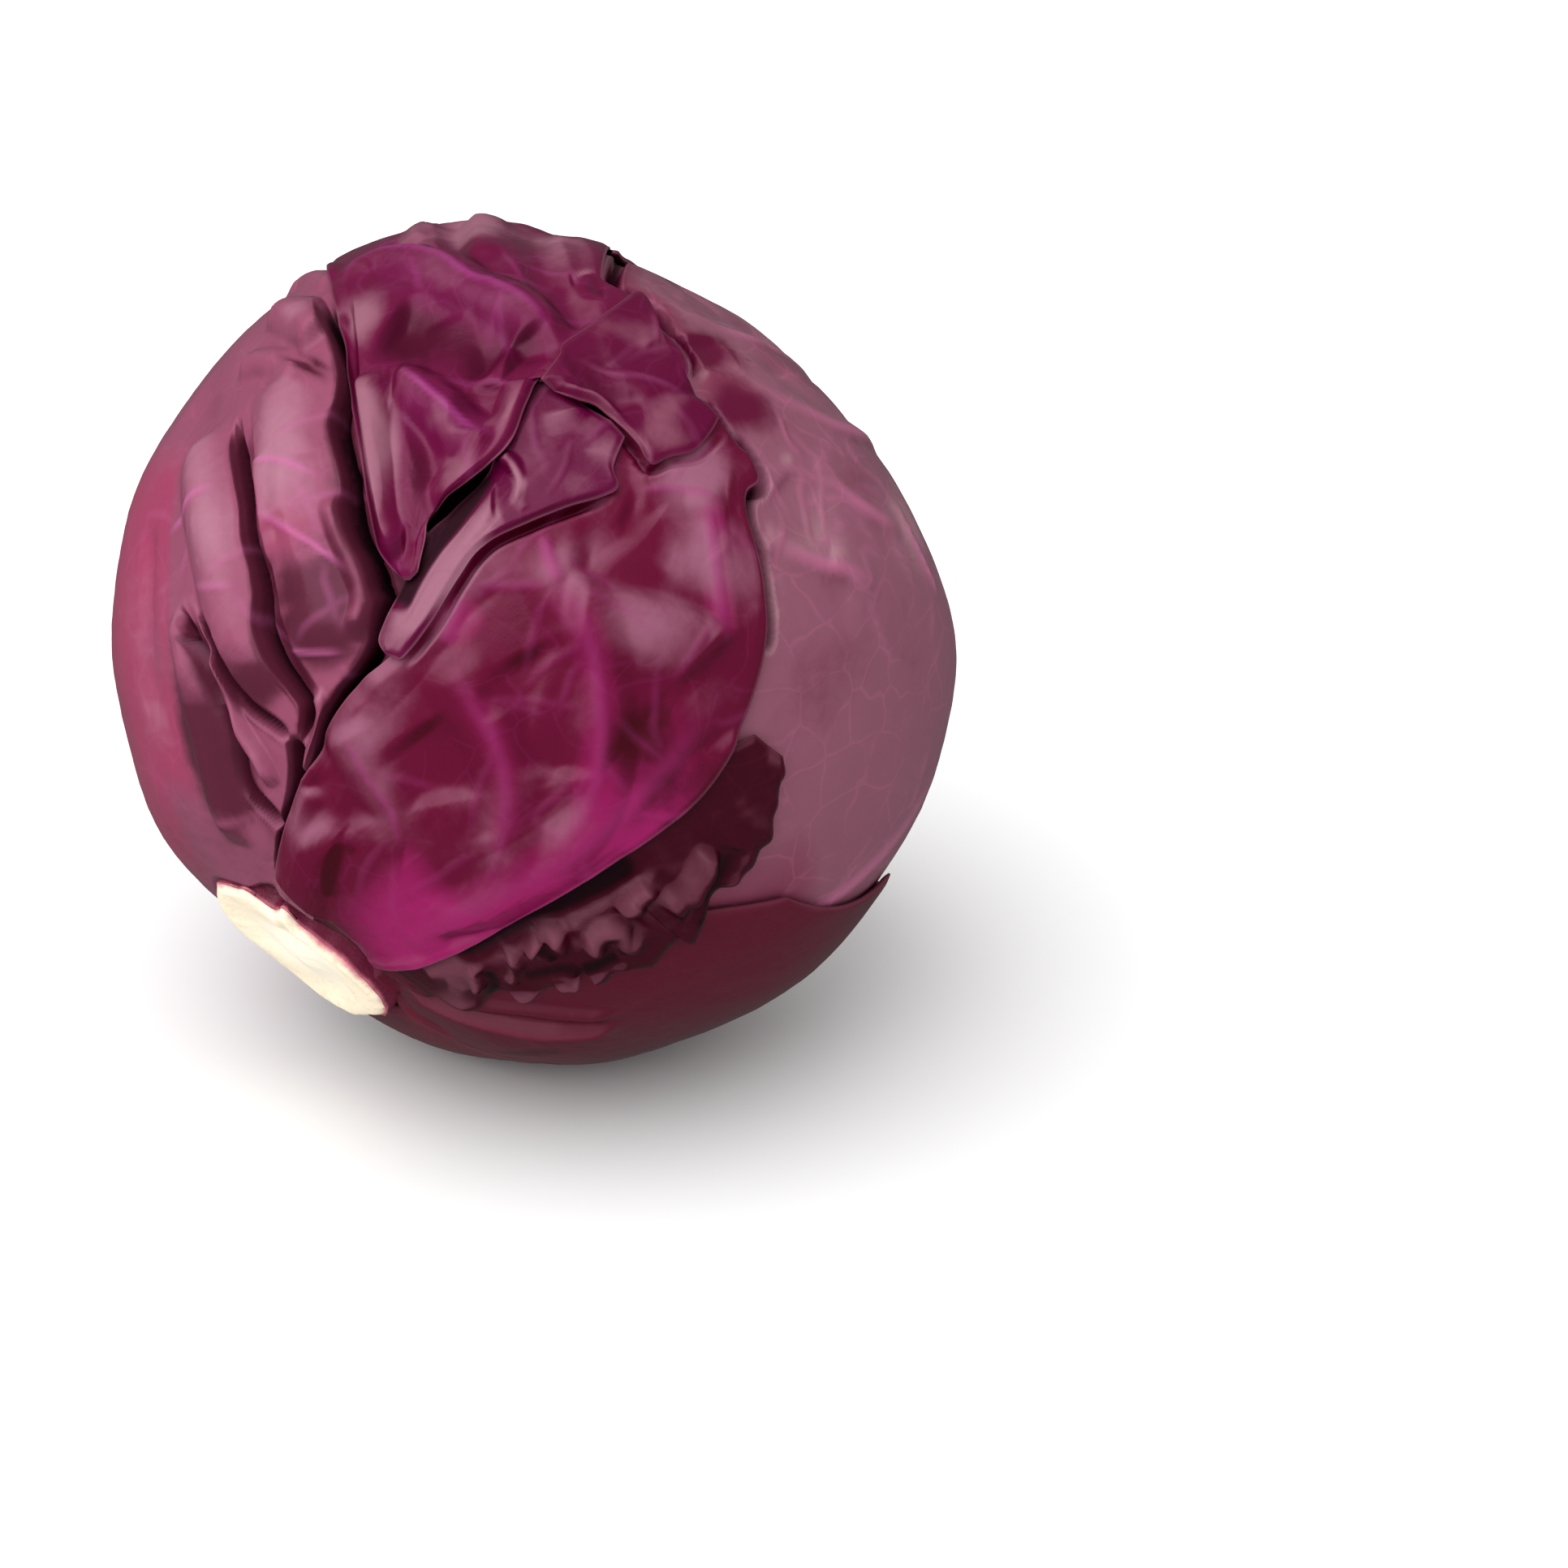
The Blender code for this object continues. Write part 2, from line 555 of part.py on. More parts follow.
def inner_leaf():
    """A small flap, and a rolled strip that runs down beside the front leaf."""
    return Leaf(
        name="inner_leaf", colour=(0.20, 0.02, 0.07), radius=0.0800, foot_radius=0.0800,
        columns=(8,), rows=18, ripple=0.0004,
        rails=[
            seen((484, 805), (474, 786), (500, 744), (545, 686), (584, 634), (608, 572), (636, 514),
                 (672, 466)),
            seen((500, 812), (530, 790), (575, 716), (592, 692), (645, 650), (700, 632), (756, 610),
                 (768, 545)),
        ],
        folds=[
            Fold(seen((488, 800), (524, 742), (558, 692), (600, 640), (625, 600), (640, 565)),
                 0.0030, 0.005, 0.005),
            Fold(seen((640, 600), (645, 640), (700, 630), (752, 608), (757, 565)), 0.0010, 0.003, 0.003),
        ])


def crown_leaf():
    """The middle rails run up the folded lobe, one beside its crest and one through its hollow."""
    return Leaf(
        name="crown_leaf", colour=(0.15, 0.022, 0.055), radius=0.0800, foot_radius=0.0800,
        columns=(6, 7, 9), rows=26,
        rails=[
            path(seen((494, 711), (476, 690), (460, 650), (446, 595), (436, 540), (428, 480), (426, 410)),
                 seen((418, 350)), around((92, 118), (104, 134), (120, 148))),
            path(seen((500, 714), (494, 640), (488, 560), (482, 480), (485, 400), (490, 322)),
                 around((76, 132), (90, 146), (125, 158))),
            path(seen((508, 714), (530, 610), (575, 545), (600, 470), (605, 420), (612, 360), (640, 295)),
                 around((64, 142), (80, 154), (130, 163))),
            path(seen((516, 708), (528, 668), (540, 628), (600, 577), (640, 512), (672, 455), (720, 480)),
                 seen((800, 490), (842, 470), (842, 440), (806, 400), (785, 372), (748, 350), (752, 320)),
                 around((46, 140), (58, 152), (84, 162), (140, 169))),
        ],
        folds=[
            Fold(seen((418, 357), (454, 327), (507, 321), (579, 354), (643, 375), (694, 430)),
                 0.0026, 0.007, 0.007),
            Fold(seen((479, 468), (507, 471), (543, 500), (579, 529), (615, 546)), 0.0026, 0.006, 0.006),
            Fold(seen((454, 471), (464, 540), (470, 610), (482, 680)), 0.0024, 0.006, 0.006),
            Fold(seen((690, 436), (655, 475), (636, 515), (606, 566), (560, 605), (522, 660)),
                 0.0024, 0.006, 0.006),
            Fold(seen((470, 400), (560, 420), (630, 460)), -0.0028, 0.010, 0.010),
            Fold(seen((500, 520), (514, 580), (510, 660)), -0.0024, 0.006, 0.006),
            Fold(seen((720, 365), (735, 345), (745, 326)), -0.0022, 0.006, 0.006),
        ])


def tip_flap():
    return Leaf(
        name="tip_flap", colour=(0.24, 0.045, 0.12), radius=0.0800, foot_radius=0.0800,
        columns=(10,), rows=11, ripple=0.0004,
        rails=[
            seen((668, 478), (686, 452), (715, 425), (748, 396), (785, 376), (812, 392), (826, 425),
                 (845, 462)),
            seen((690, 490), (730, 505), (765, 535), (790, 560), (802, 574), (835, 568), (862, 555),
                 (888, 524)),
        ],
        folds=[
            Fold(seen((672, 484), (730, 508), (765, 537), (790, 562)), 0.0016, 0.004, 0.004),
            Fold(seen((700, 470), (770, 500), (830, 520)), 0.0008, 0.008, 0.008),
        ])


def build():
    """All the pieces from the inside out, each leaf laid over those before it."""
    for item in list(bpy.data.objects):
        bpy.data.objects.remove(item)
    bpy.context.scene.collection.children.link(bpy.data.collections.new(COLLECTION))
    laid = [add_heart()]
    leaves = [
        rear_leaf(), back_leaf(), right_leaf(), under_leaf(), ruffled_leaf(), left_leaf(), front_leaf(),
        inner_leaf(), crown_leaf(), tip_flap(),
    ]
    for leaf in leaves:
        laid.append(add_leaf(leaf, laid))
    add_stump()


build()
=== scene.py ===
"""Red cabbage, dressed: fine leaves, cut stem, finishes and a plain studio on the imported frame.

Every leaf is a thin slab on a fine grid. Its rails say where it lies on the head, its folds and
veins raise or sink it, and it is laid over the leaves before it, from the inside out.
Lengths are in metres. The head rests on the plane z = 0, and it is seen along +Y.
"""
import math
from dataclasses import dataclass
from dataclasses import field

import bmesh
import bpy
import numpy as np
from bpy.props import FloatProperty
from bpy.props import FloatVectorProperty
from bpy.props import IntProperty
from bpy.props import PointerProperty
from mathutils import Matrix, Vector
from mathutils.bvhtree import BVHTree


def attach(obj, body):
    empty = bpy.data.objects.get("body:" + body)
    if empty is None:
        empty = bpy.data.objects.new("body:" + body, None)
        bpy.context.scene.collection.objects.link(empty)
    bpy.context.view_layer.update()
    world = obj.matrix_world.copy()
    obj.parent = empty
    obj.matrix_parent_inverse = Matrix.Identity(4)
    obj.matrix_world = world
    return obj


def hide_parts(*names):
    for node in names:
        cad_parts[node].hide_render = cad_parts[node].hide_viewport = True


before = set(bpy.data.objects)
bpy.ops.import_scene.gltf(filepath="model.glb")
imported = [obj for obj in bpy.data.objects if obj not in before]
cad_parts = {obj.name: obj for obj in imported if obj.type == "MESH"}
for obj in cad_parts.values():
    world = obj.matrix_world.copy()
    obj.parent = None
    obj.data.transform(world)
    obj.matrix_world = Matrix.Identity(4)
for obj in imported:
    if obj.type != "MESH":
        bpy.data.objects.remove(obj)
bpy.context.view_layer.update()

bl_info = {
    "name": "Red cabbage",
    "version": (1, 0, 0),
    "blender": (4, 5, 0),
    "location": "View3D > Sidebar > Cabbage",
    "description": "Makes a whole red cabbage from folded leaves, with its studio",
    "category": "Object",
}

# The head, as part of the frame: its size, where it rests, and the stem's axis
HEAD_RADIUS = 0.080
REST_HEIGHT = 0.078
STUMP_FACE = 0.0755
STUMP_FOOT = 0.0615
STEM_TURN = math.radians(224.5)
STEM_DIP = math.radians(35.7)
FOOT_AWAY = math.radians(14.4)

# How the photograph sees the head: elevation, distance, and the head's outline in its pixels
VIEW_ELEVATION = math.radians(25)
VIEW_DISTANCE = 1.0
PHOTO_SIZE = 1932
PHOTO_MIDDLE = (660, 790)
PHOTO_RADIUS = 523
SIGHT_ROUNDS = 12

# The head is flatter round its top and, less so, close to the stem
TOP_FLATTENING = 0.095
TOP_FROM = math.radians(118)
TOP_TO = math.radians(158)
STEM_FLATTENING = 0.02
STEM_FROM = math.radians(32)
STEM_TO = math.radians(14)

# How the leaves are fitted over the ones below
DRAPE_SLOPE = 0.5
DRAPE_WINDOW = 2
SHELL_STEP = 2
FOOT_SHARE = 0.35
RAY_START = 0.2

# Points on a fold or vein, and points between two given ones where a curve is made
FOLD_POINTS = 44
CURVE_STEPS = 12

# A crevice: its steep side, the share of its depth that a wider valley has, and the line of painted shade in
# it
CREVICE_SIDE = 0.0015
CREVICE_VALLEY = 0.35
CREVICE_ROUNDING = 0.0005
CREVICE_LINE = 0.0012
CREVICE_LINE_OFFSET = 0.0004
CREVICE_SHADE = 0.55

# Waves that cross the head in these directions make it gently uneven, each with its own start
RIPPLE_WAVES = ((9.0, 4.0, -7.0, 0.4), (-5.0, 11.0, 6.0, 1.9), (12.0, -8.0, 9.0, 3.1), (3.0, 7.0, 14.0, 5.0))

# The wave of a ruffled margin: its middle and its two parts, and how the second differs
RUFFLE_MIDDLE = 0.5
RUFFLE_PARTS = (0.3, 0.2)
RUFFLE_FASTER = 2.3
RUFFLE_SLANT = 4.0
RUFFLE_FROM = 0.35

# How far a leaf's edge curls in, how thin it gets, and the share of that taken off its outer face
CURL_WIDTH = 0.003
EDGE_THICKNESS = 0.35
OUTER_SHARE = 0.4
CREASE_SHARE = 0.15

# Heights at which a vein, a hollow's painted shade and a crest's painted highlight count as full, and the
# width of the painted highlight along an edge
VEIN_FULL = 0.00045
HOLLOW_SHADE_FROM = 0.0014
HOLLOW_SHADE_DEPTH = 0.005
CREST_LIGHT_FULL = 0.002
EDGE_LIGHT_WIDTH = 0.0006

# Grids are made this size and thick before their vertices move
GRID_SIDE = 0.5
GRID_DEPTH = 0.1

# The small veins beside a rib: points along the rib and left free at each end, points on each vein,
# a stretch of rib for each, their usual length, height and width
RIB_POINTS = 60
RIB_ENDS = 4
SIDE_VEIN_POINTS = 6
SIDE_VEIN_STRETCH = 0.011
SIDE_VEIN_REACH = 0.015
SIDE_VEIN_RISE = 0.00010
SIDE_VEIN_WIDTH = 0.0012

# The cut stem: its grid, the lobes of its rim as degrees, swelling and width, and its spread below
STUMP_SIDES = 160
STUMP_RINGS = 40
STUMP_LOBES = (
    (48, 0.10, 13), (33, -0.07, 6), (19, 0.24, 5.5), (80, 0.10, 20), (-80, 0.05, 20), (-150, 0.06, 30))
STUMP_FLARE = 0.20
FACE_LEVEL = 0.99

# Where the main light comes from, how much of the surroundings the wax doesn't mirror, half the floor
KEY_PLACE = (-0.50, -0.50, 1.05)
WORLD_UNMIRRORED = 0.85
FLOOR_HALF = 3.0

MIDDLE = np.array((0.0, 0.0, REST_HEIGHT))
VIEW_RIGHT = np.array((1.0, 0.0, 0.0))
VIEW_UP = np.array((0.0, math.sin(VIEW_ELEVATION), math.cos(VIEW_ELEVATION)))
VIEW_NEAR = np.array((0.0, -math.cos(VIEW_ELEVATION), math.sin(VIEW_ELEVATION)))
STEM = np.array((
    math.cos(STEM_DIP) * math.cos(STEM_TURN),
    math.cos(STEM_DIP) * math.sin(STEM_TURN),
    -math.sin(STEM_DIP),
))

# Slopes of the relief that lean this way get painted highlight, and those that lean away painted shade
PAINTED_LIGHT_SIDE = (-0.50, -0.25, 0.83)

# The colours of each leaf: in its hollows and where it is painted shaded, over most of it, where wax and
# painted highlight make it pale, of its veins, and where it flushes
TONES = {
    "left_leaf": (
        (0.072, 0.010, 0.024), (0.200, 0.046, 0.088), (0.290, 0.122, 0.172), (0.40, 0.09, 0.24),
        (0.250, 0.030, 0.080)),
    "crown_leaf": (
        (0.052, 0.000, 0.012), (0.095, 0.001, 0.027), (0.215, 0.078, 0.115), (0.26, 0.03, 0.16),
        (0.105, 0.001, 0.038)),
    "tip_flap": (
        (0.055, 0.000, 0.013), (0.078, 0.000, 0.022), (0.175, 0.050, 0.082), (0.19, 0.03, 0.10),
        (0.110, 0.002, 0.040)),
    "inner_leaf": (
        (0.050, 0.000, 0.012), (0.078, 0.000, 0.024), (0.225, 0.086, 0.126), (0.19, 0.03, 0.10),
        (0.110, 0.002, 0.040)),
    "front_leaf": (
        (0.044, 0.000, 0.004), (0.088, 0.000, 0.017), (0.215, 0.072, 0.118), (0.23, 0.02, 0.115),
        (0.235, 0.004, 0.078)),
    "right_leaf": (
        (0.085, 0.002, 0.022), (0.188, 0.062, 0.096), (0.310, 0.170, 0.196), (0.42, 0.11, 0.22),
        (0.150, 0.024, 0.054)),
    "under_leaf": (
        (0.025, 0.000, 0.003), (0.080, 0.003, 0.015), (0.120, 0.024, 0.040), (0.14, 0.01, 0.03),
        (0.120, 0.002, 0.015)),
    "ruffled_leaf": (
        (0.008, 0.000, 0.001), (0.036, 0.000, 0.005), (0.105, 0.026, 0.042), (0.10, 0.01, 0.03),
        (0.070, 0.001, 0.008)),
    "back_leaf": (
        (0.090, 0.003, 0.026), (0.185, 0.045, 0.085), (0.26, 0.105, 0.155), (0.33, 0.09, 0.19),
        (0.220, 0.035, 0.080)),
    "rear_leaf": (
        (0.090, 0.003, 0.026), (0.165, 0.040, 0.078), (0.25, 0.100, 0.145), (0.30, 0.08, 0.17),
        (0.190, 0.028, 0.068)),
    # The heart is all but black: painted shade for the depth of the gaps where it shows
    "heart": (
        (0.020, 0.000, 0.003), (0.034, 0.001, 0.008), (0.050, 0.004, 0.014), (0.06, 0.01, 0.02),
        (0.030, 0.001, 0.006)),
}
TONE_NAMES = ("deep", "body", "pale", "vein", "flush")


def colour_property(name, default):
    return FloatVectorProperty(
        name=name, description="Colour of the " + name, default=default, subtype="COLOR", min=0.0, max=1.0)


def length_property(name, description, default, least=0.0):
    return FloatProperty(name=name, description=description, default=default, min=least, unit="LENGTH")


class CabbageSizes(bpy.types.PropertyGroup):
    """The sizes that a user would change."""

    thickness: length_property("Leaf thickness", "Thickness of a leaf away from its margin", 0.0012, 0.0006)
    gap: length_property("Gap", "Least gap between a leaf and those below", 0.0003)
    margin: length_property("Margin", "Width over which a leaf thins towards its edge", 0.0016)
    stump_radius: length_property("Stump radius", "Radius of the cut face", 0.0185)
    seed: IntProperty(name="Seed", description="Seed of the small veins", default=7)


class CabbageColours(bpy.types.PropertyGroup):
    """The colours of every leaf, filled in from TONES, and those of the cut stem."""

    flesh: colour_property("cut flesh", (0.93, 0.82, 0.62))
    flesh_edge: colour_property("cut edge", (0.62, 0.16, 0.22))
    flesh_core: colour_property("cut core", (0.95, 0.88, 0.72))
    side: colour_property("side of the stem", (0.16, 0.010, 0.040))


for leaf_name, leaf_tones in TONES.items():
    for tone_name, tone in zip(TONE_NAMES, leaf_tones):
        label = leaf_name.replace("_", " ") + ", " + tone_name
        CabbageColours.__annotations__[leaf_name + "_" + tone_name] = colour_property(label, tone)


class StudioSettings(bpy.types.PropertyGroup):
    """The floor, lights and surroundings."""

    floor: colour_property("floor", (0.72, 0.72, 0.72))
    key: FloatProperty(name="Key light", description="Strength of the main soft light", default=3.1)
    key_spread: FloatProperty(
        name="Key spread", description="Angle over which the main light comes", default=math.radians(72),
        subtype="ANGLE")
    world: FloatProperty(name="World", description="Strength of the white surroundings", default=1.0)


@dataclass
class Line:
    """A line on the head, what it adds there, and how far that reaches to each side.

    The amount is a height in metres for folds and veins, and a share for washes and flushes. It falls
    off more sharply with a greater power, and fades over the share of the line that ends gives.
    """

    points: np.ndarray
    amount: float
    left: float
    right: float
    power: float = 2.0
    ends: float = 0.14


def tone_and_light_wash(points, amount, reach):
    """A soft patch along a line, strongest in its middle, that makes the leaf paler or darker: partly its
    own tone, partly painted highlight and painted shade.
    """
    return Line(points, amount, reach, reach, 1.2, 0.5)


def fold(points, amount, left, right=None):
    """A ridge, or a valley if the amount is below 0, with rounded sides."""
    return Line(points, amount, left, left if right is None else right, 1.4)


def vein(points, amount, reach):
    """A vein that fades towards its ends."""
    return Line(points, amount, reach, reach, 2.0, 0.3)


@dataclass
class Leaf:
    """One leaf: rails from its foot to its tip, how far out it lies, and the lines on it.

    The first and last rail are its margins. There are as many columns between two rails as given.
    """

    name: str
    rails: list
    columns: tuple
    rows: int
    radius: float
    foot_radius: float
    folds: list = field(default_factory=list)
    veins: list = field(default_factory=list)
    washes: list = field(default_factory=list)
    flushes: list = field(default_factory=list)
    ripple: float = 0.0008
    ruffle: float = 0.0
    ruffle_waves: float = 0.0
    gather: float = 0.0
    lean: float = 0.0
    curl: float = 0.0008
    net: float = 0.08
    # How strongly the slopes of the relief are painted lit or shaded
    relief: float = 1.3
    flat: bool = False


def shifted(points, distance):
    """The line moved sideways, to the left of its run as seen from outside."""
    curve = smooth_curve(points, FOLD_POINTS)
    along = unit(np.gradient(curve, axis=0))
    return unit(curve + np.cross(curve, along) * (distance / HEAD_RADIUS))


def crevice(points, depth, far, near):
    """A narrow gap in a wider valley. Its near side, right of the run, is a rounded overhanging fold,
    darkened by a line of painted shade.
    """
    folds = [
        Line(points, -depth, CREVICE_SIDE, near, 1.8),
        fold(points, -CREVICE_VALLEY * depth, far, near + CREVICE_ROUNDING),
    ]
    lip = shifted(points, -near - CREVICE_LINE_OFFSET)
    return folds, [Line(lip, -CREVICE_SHADE, CREVICE_LINE, CREVICE_LINE, 1.5)]


def unit(rows):
    """Each row at length 1."""
    return rows / np.linalg.norm(rows, axis=-1, keepdims=True)


def blend(start, end, values):
    """A smooth step from 0 at the start to 1 at the end."""
    share = np.clip((values - start) / (end - start), 0.0, 1.0)
    return share * share * (3.0 - 2.0 * share)


# The meridian that faces the viewer, and the one a quarter turn on
STEM_FRONT = unit(VIEW_NEAR - VIEW_NEAR.dot(STEM) * STEM)
STEM_SIDE = np.cross(STEM, STEM_FRONT)


def head_scale(directions):
    """How far out the head's surface is in each direction, as a share of its radius."""
    away = np.arccos(np.clip(directions @ STEM, -1.0, 1.0))
    top = TOP_FLATTENING * blend(TOP_FROM, TOP_TO, away)
    foot = STEM_FLATTENING * blend(-STEM_FROM, -STEM_TO, -away)
    return 1.0 - top - foot


def pairs(text):
    """Rows of two numbers from text such as "12,5 14,-3"."""
    return np.array([pair.split(",") for pair in text.split()], float)


def seen(text):
    """Directions from the middle of the head to points measured in the photograph, in pixels.

    A point's line of sight meets the head where the head is as far out as its surface says there.
    """
    pixels = pairs(text)
    per_pixel = HEAD_RADIUS / math.sqrt(VIEW_DISTANCE ** 2 - HEAD_RADIUS ** 2) / PHOTO_RADIUS
    x = (pixels[:, 0] - PHOTO_MIDDLE[0]) * per_pixel
    y = (PHOTO_MIDDLE[1] - pixels[:, 1]) * per_pixel
    rays = x[:, None] * VIEW_RIGHT + y[:, None] * VIEW_UP - VIEW_NEAR
    eye = VIEW_NEAR * VIEW_DISTANCE
    a = (rays * rays).sum(axis=1)
    b = 2.0 * rays @ eye
    radius = np.full(len(pixels), HEAD_RADIUS)
    for _ in range(SIGHT_ROUNDS):
        root = np.maximum(b * b - 4.0 * a * (VIEW_DISTANCE ** 2 - radius ** 2), 0.0)
        directions = unit(eye + ((-b - np.sqrt(root)) / (2.0 * a))[:, None] * rays)
        radius = HEAD_RADIUS * head_scale(directions)
    return directions


def around(text):
    """Directions given as degrees round the stem's axis and degrees away from the stem."""
    turn, away = np.radians(pairs(text)).T
    side = np.cos(turn)[:, None] * STEM_FRONT + np.sin(turn)[:, None] * STEM_SIDE
    return np.cos(away)[:, None] * STEM + np.sin(away)[:, None] * side


def path(*pieces):
    """One line from several pieces of directions."""
    return np.vstack(pieces)


def smooth_curve(points, count):
    """Evenly spaced directions on a Catmull-Rom curve through the given ones."""
    padded = np.vstack((2 * points[0] - points[1], points, 2 * points[-1] - points[-2]))
    t = np.linspace(0.0, 1.0, CURVE_STEPS, endpoint=False)[:, None]
    dense = []
    for before, start, end, after in zip(padded, padded[1:], padded[2:], padded[3:]):
        bend = 2 * before - 5 * start + 4 * end - after
        rest = 3 * start - before - 3 * end + after
        dense.append(0.5 * (2 * start + (end - before) * t + bend * t ** 2 + rest * t ** 3))
    dense = unit(np.vstack(dense + [points[-1:]]))
    steps = np.linalg.norm(np.diff(dense, axis=0), axis=1)
    length = np.concatenate(([0.0], np.cumsum(steps)))
    wanted = np.linspace(0.0, length[-1], count)
    return unit(np.column_stack([np.interp(wanted, length, dense[:, i]) for i in range(3)]))


def to_chart(centre, first, second, directions):
    """Places on a flat chart, where distances from the centre are angles."""
    cosine = np.clip(directions @ centre, -1.0, 1.0)
    flat = directions - cosine[..., None] * centre
    scale = np.arccos(cosine) / np.maximum(np.linalg.norm(flat, axis=-1), 1e-9)
    return np.stack((flat @ first * scale, flat @ second * scale), axis=-1)


def from_chart(centre, first, second, places):
    """The directions that places on such a chart stand for."""
    angle = np.linalg.norm(places, axis=-1)
    spread = np.sinc(angle / math.pi)
    side = places[..., :1] * first + places[..., 1:] * second
    return np.cos(angle)[..., None] * centre + spread[..., None] * side


def clear_stem(net):
    """Move the foot of the net out to a round edge about the stump, and what follows less."""
    away = np.arccos(np.clip(net @ STEM, -1.0, 1.0))
    side = unit(net - (net @ STEM)[..., None] * STEM)
    share = np.linspace(0.0, 1.0, net.shape[1])[None, :]
    away = away + np.maximum(FOOT_AWAY - away[:, :1], 0.0) * (1.0 - share) ** 2
    return np.cos(away)[..., None] * STEM + np.sin(away)[..., None] * side


def leaf_directions(leaf):
    """A net of directions: its lines run along the leaf's rails, and closer together beside them."""
    centre = unit(np.vstack((leaf.rails[0], leaf.rails[-1])).mean(axis=0))
    first = unit(np.cross(centre, STEM))
    second = np.cross(centre, first)
    rails = [to_chart(centre, first, second, smooth_curve(rail, leaf.rows + 1)) for rail in leaf.rails]
    lines = []
    for start, end, count in zip(rails, rails[1:], leaf.columns):
        even = np.arange(count) / count
        close = 0.5 - 0.5 * np.cos(math.pi * even)
        lines.extend(start + (end - start) * step for step in even + (close - even) * leaf.gather)
    lines.append(rails[-1])
    return clear_stem(from_chart(centre, first, second, np.stack(lines)))


def line_field(directions, line):
    """1 along the line, falling to 0 at its reach on each side and at its ends."""
    points = smooth_curve(line.points, FOLD_POINTS)
    reach = max(line.left, line.right) / HEAD_RADIUS
    centre = unit(points.mean(axis=0))
    spread = np.arccos(np.clip(points @ centre, -1.0, 1.0)).max() + reach
    near = directions @ centre > math.cos(min(spread, math.pi))
    field_values = np.zeros(directions.shape[:-1])
    close = directions[near]
    best = np.full(len(close), np.inf)
    side = np.zeros(len(close))
    share = np.zeros(len(close))
    for index, (start, end) in enumerate(zip(points, points[1:])):
        run = end - start
        away = close - start
        part = np.clip(away @ run / run.dot(run), 0.0, 1.0)
        distance = np.linalg.norm(away - part[:, None] * run, axis=-1)
        closer = distance < best
        best[closer] = distance[closer]
        side[closer] = (away[closer] @ np.cross(start, run))
        share[closer] = (index + part[closer]) / (FOLD_POINTS - 1)
    width = np.where(side > 0.0, line.left, line.right) / HEAD_RADIUS
    inside = np.clip(1.0 - (best / width) ** 2, 0.0, 1.0) ** line.power
    field_values[near] = inside * blend(0.0, line.ends, share) * blend(0.0, line.ends, 1.0 - share)
    return field_values


def fold_relief(directions, folds):
    """Ridges add up, and of the crevices the deepest counts."""
    rise = np.zeros(directions.shape[:-1])
    drop = np.zeros(directions.shape[:-1])
    for line in folds:
        values = line.amount * line_field(directions, line)
        if line.amount > 0:
            rise += values
        else:
            drop = np.minimum(drop, values)
    return rise, drop


def ripples(directions, scale=1.0):
    """Gentle unevenness between -1 and 1, the same on every run."""
    total = sum(np.sin(scale * (directions @ np.array(wave[:3])) + wave[3]) for wave in RIPPLE_WAVES)
    return total / len(RIPPLE_WAVES)


def creases(directions):
    """Fine unevenness of a leaf that dried a little, between -1 and 1."""
    bent = directions + 0.05 * np.stack([ripples(directions, 3.0 + i) for i in range(3)], axis=-1)
    return 0.6 * ripples(bent, 4.5) + 0.4 * ripples(bent, 9.0)


# The outer faces of the leaves laid so far, as grids of points
SHELLS = []


def shell_tree():
    """A search tree over the heart and the outer faces of the leaves laid so far."""
    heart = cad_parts["heart"].data
    points = [tuple(vertex.co) for vertex in heart.vertices]
    faces = [tuple(face.vertices) for face in heart.polygons]
    for shell in SHELLS:
        start = len(points)
        points.extend(map(tuple, shell.reshape(-1, 3)))
        index = np.arange(shell.shape[0] * shell.shape[1]).reshape(shell.shape[:2]) + start
        quads = np.stack((index[:-1, :-1], index[1:, :-1], index[1:, 1:], index[:-1, 1:]), axis=-1)
        faces.extend(map(tuple, quads.reshape(-1, 4).tolist()))
    return BVHTree.FromPolygons(points, faces)


def thin_out(count):
    """Indices of every second grid line, the last one included."""
    return np.unique(np.append(np.arange(0, count, SHELL_STEP), count - 1))


def drape_radius(net):
    """The least radius at each vertex that clears the leaves below, with gentle slopes."""
    tree = shell_tree()
    reach = np.zeros(net.shape[0] * net.shape[1])
    middle = Vector(MIDDLE)
    for index, direction in enumerate(net.reshape(-1, 3)):
        outward = Vector(direction)
        hit = tree.ray_cast(middle + outward * RAY_START, -outward)
        if hit[0] is not None:
            reach[index] = RAY_START - hit[3]
    wide = np.pad(reach.reshape(net.shape[:2]), DRAPE_WINDOW, mode="edge")
    size = 2 * DRAPE_WINDOW + 1
    radius = np.lib.stride_tricks.sliding_window_view(wide, (size, size)).max(axis=(2, 3))
    step_u = np.linalg.norm(net[1:] - net[:-1], axis=-1) * HEAD_RADIUS * DRAPE_SLOPE
    step_v = np.linalg.norm(net[:, 1:] - net[:, :-1], axis=-1) * HEAD_RADIUS * DRAPE_SLOPE
    for _ in range(max(net.shape[:2])):
        before = radius.copy()
        radius[1:] = np.maximum(radius[1:], radius[:-1] - step_u)
        radius[:-1] = np.maximum(radius[:-1], radius[1:] - step_u)
        radius[:, 1:] = np.maximum(radius[:, 1:], radius[:, :-1] - step_v)
        radius[:, :-1] = np.maximum(radius[:, :-1], radius[:, 1:] - step_v)
        if np.array_equal(before, radius):
            break
    return soften(radius)


def soften(values):
    """Round off a grid's kinks without letting it sink."""
    smooth = values
    for _ in range(4):
        wide = np.pad(smooth, 1, mode="edge")
        smooth = (wide[:-2, 1:-1] + wide[2:, 1:-1] + wide[1:-1, :-2] + wide[1:-1, 2:]) / 4
        smooth = np.maximum(smooth, values)
    return smooth


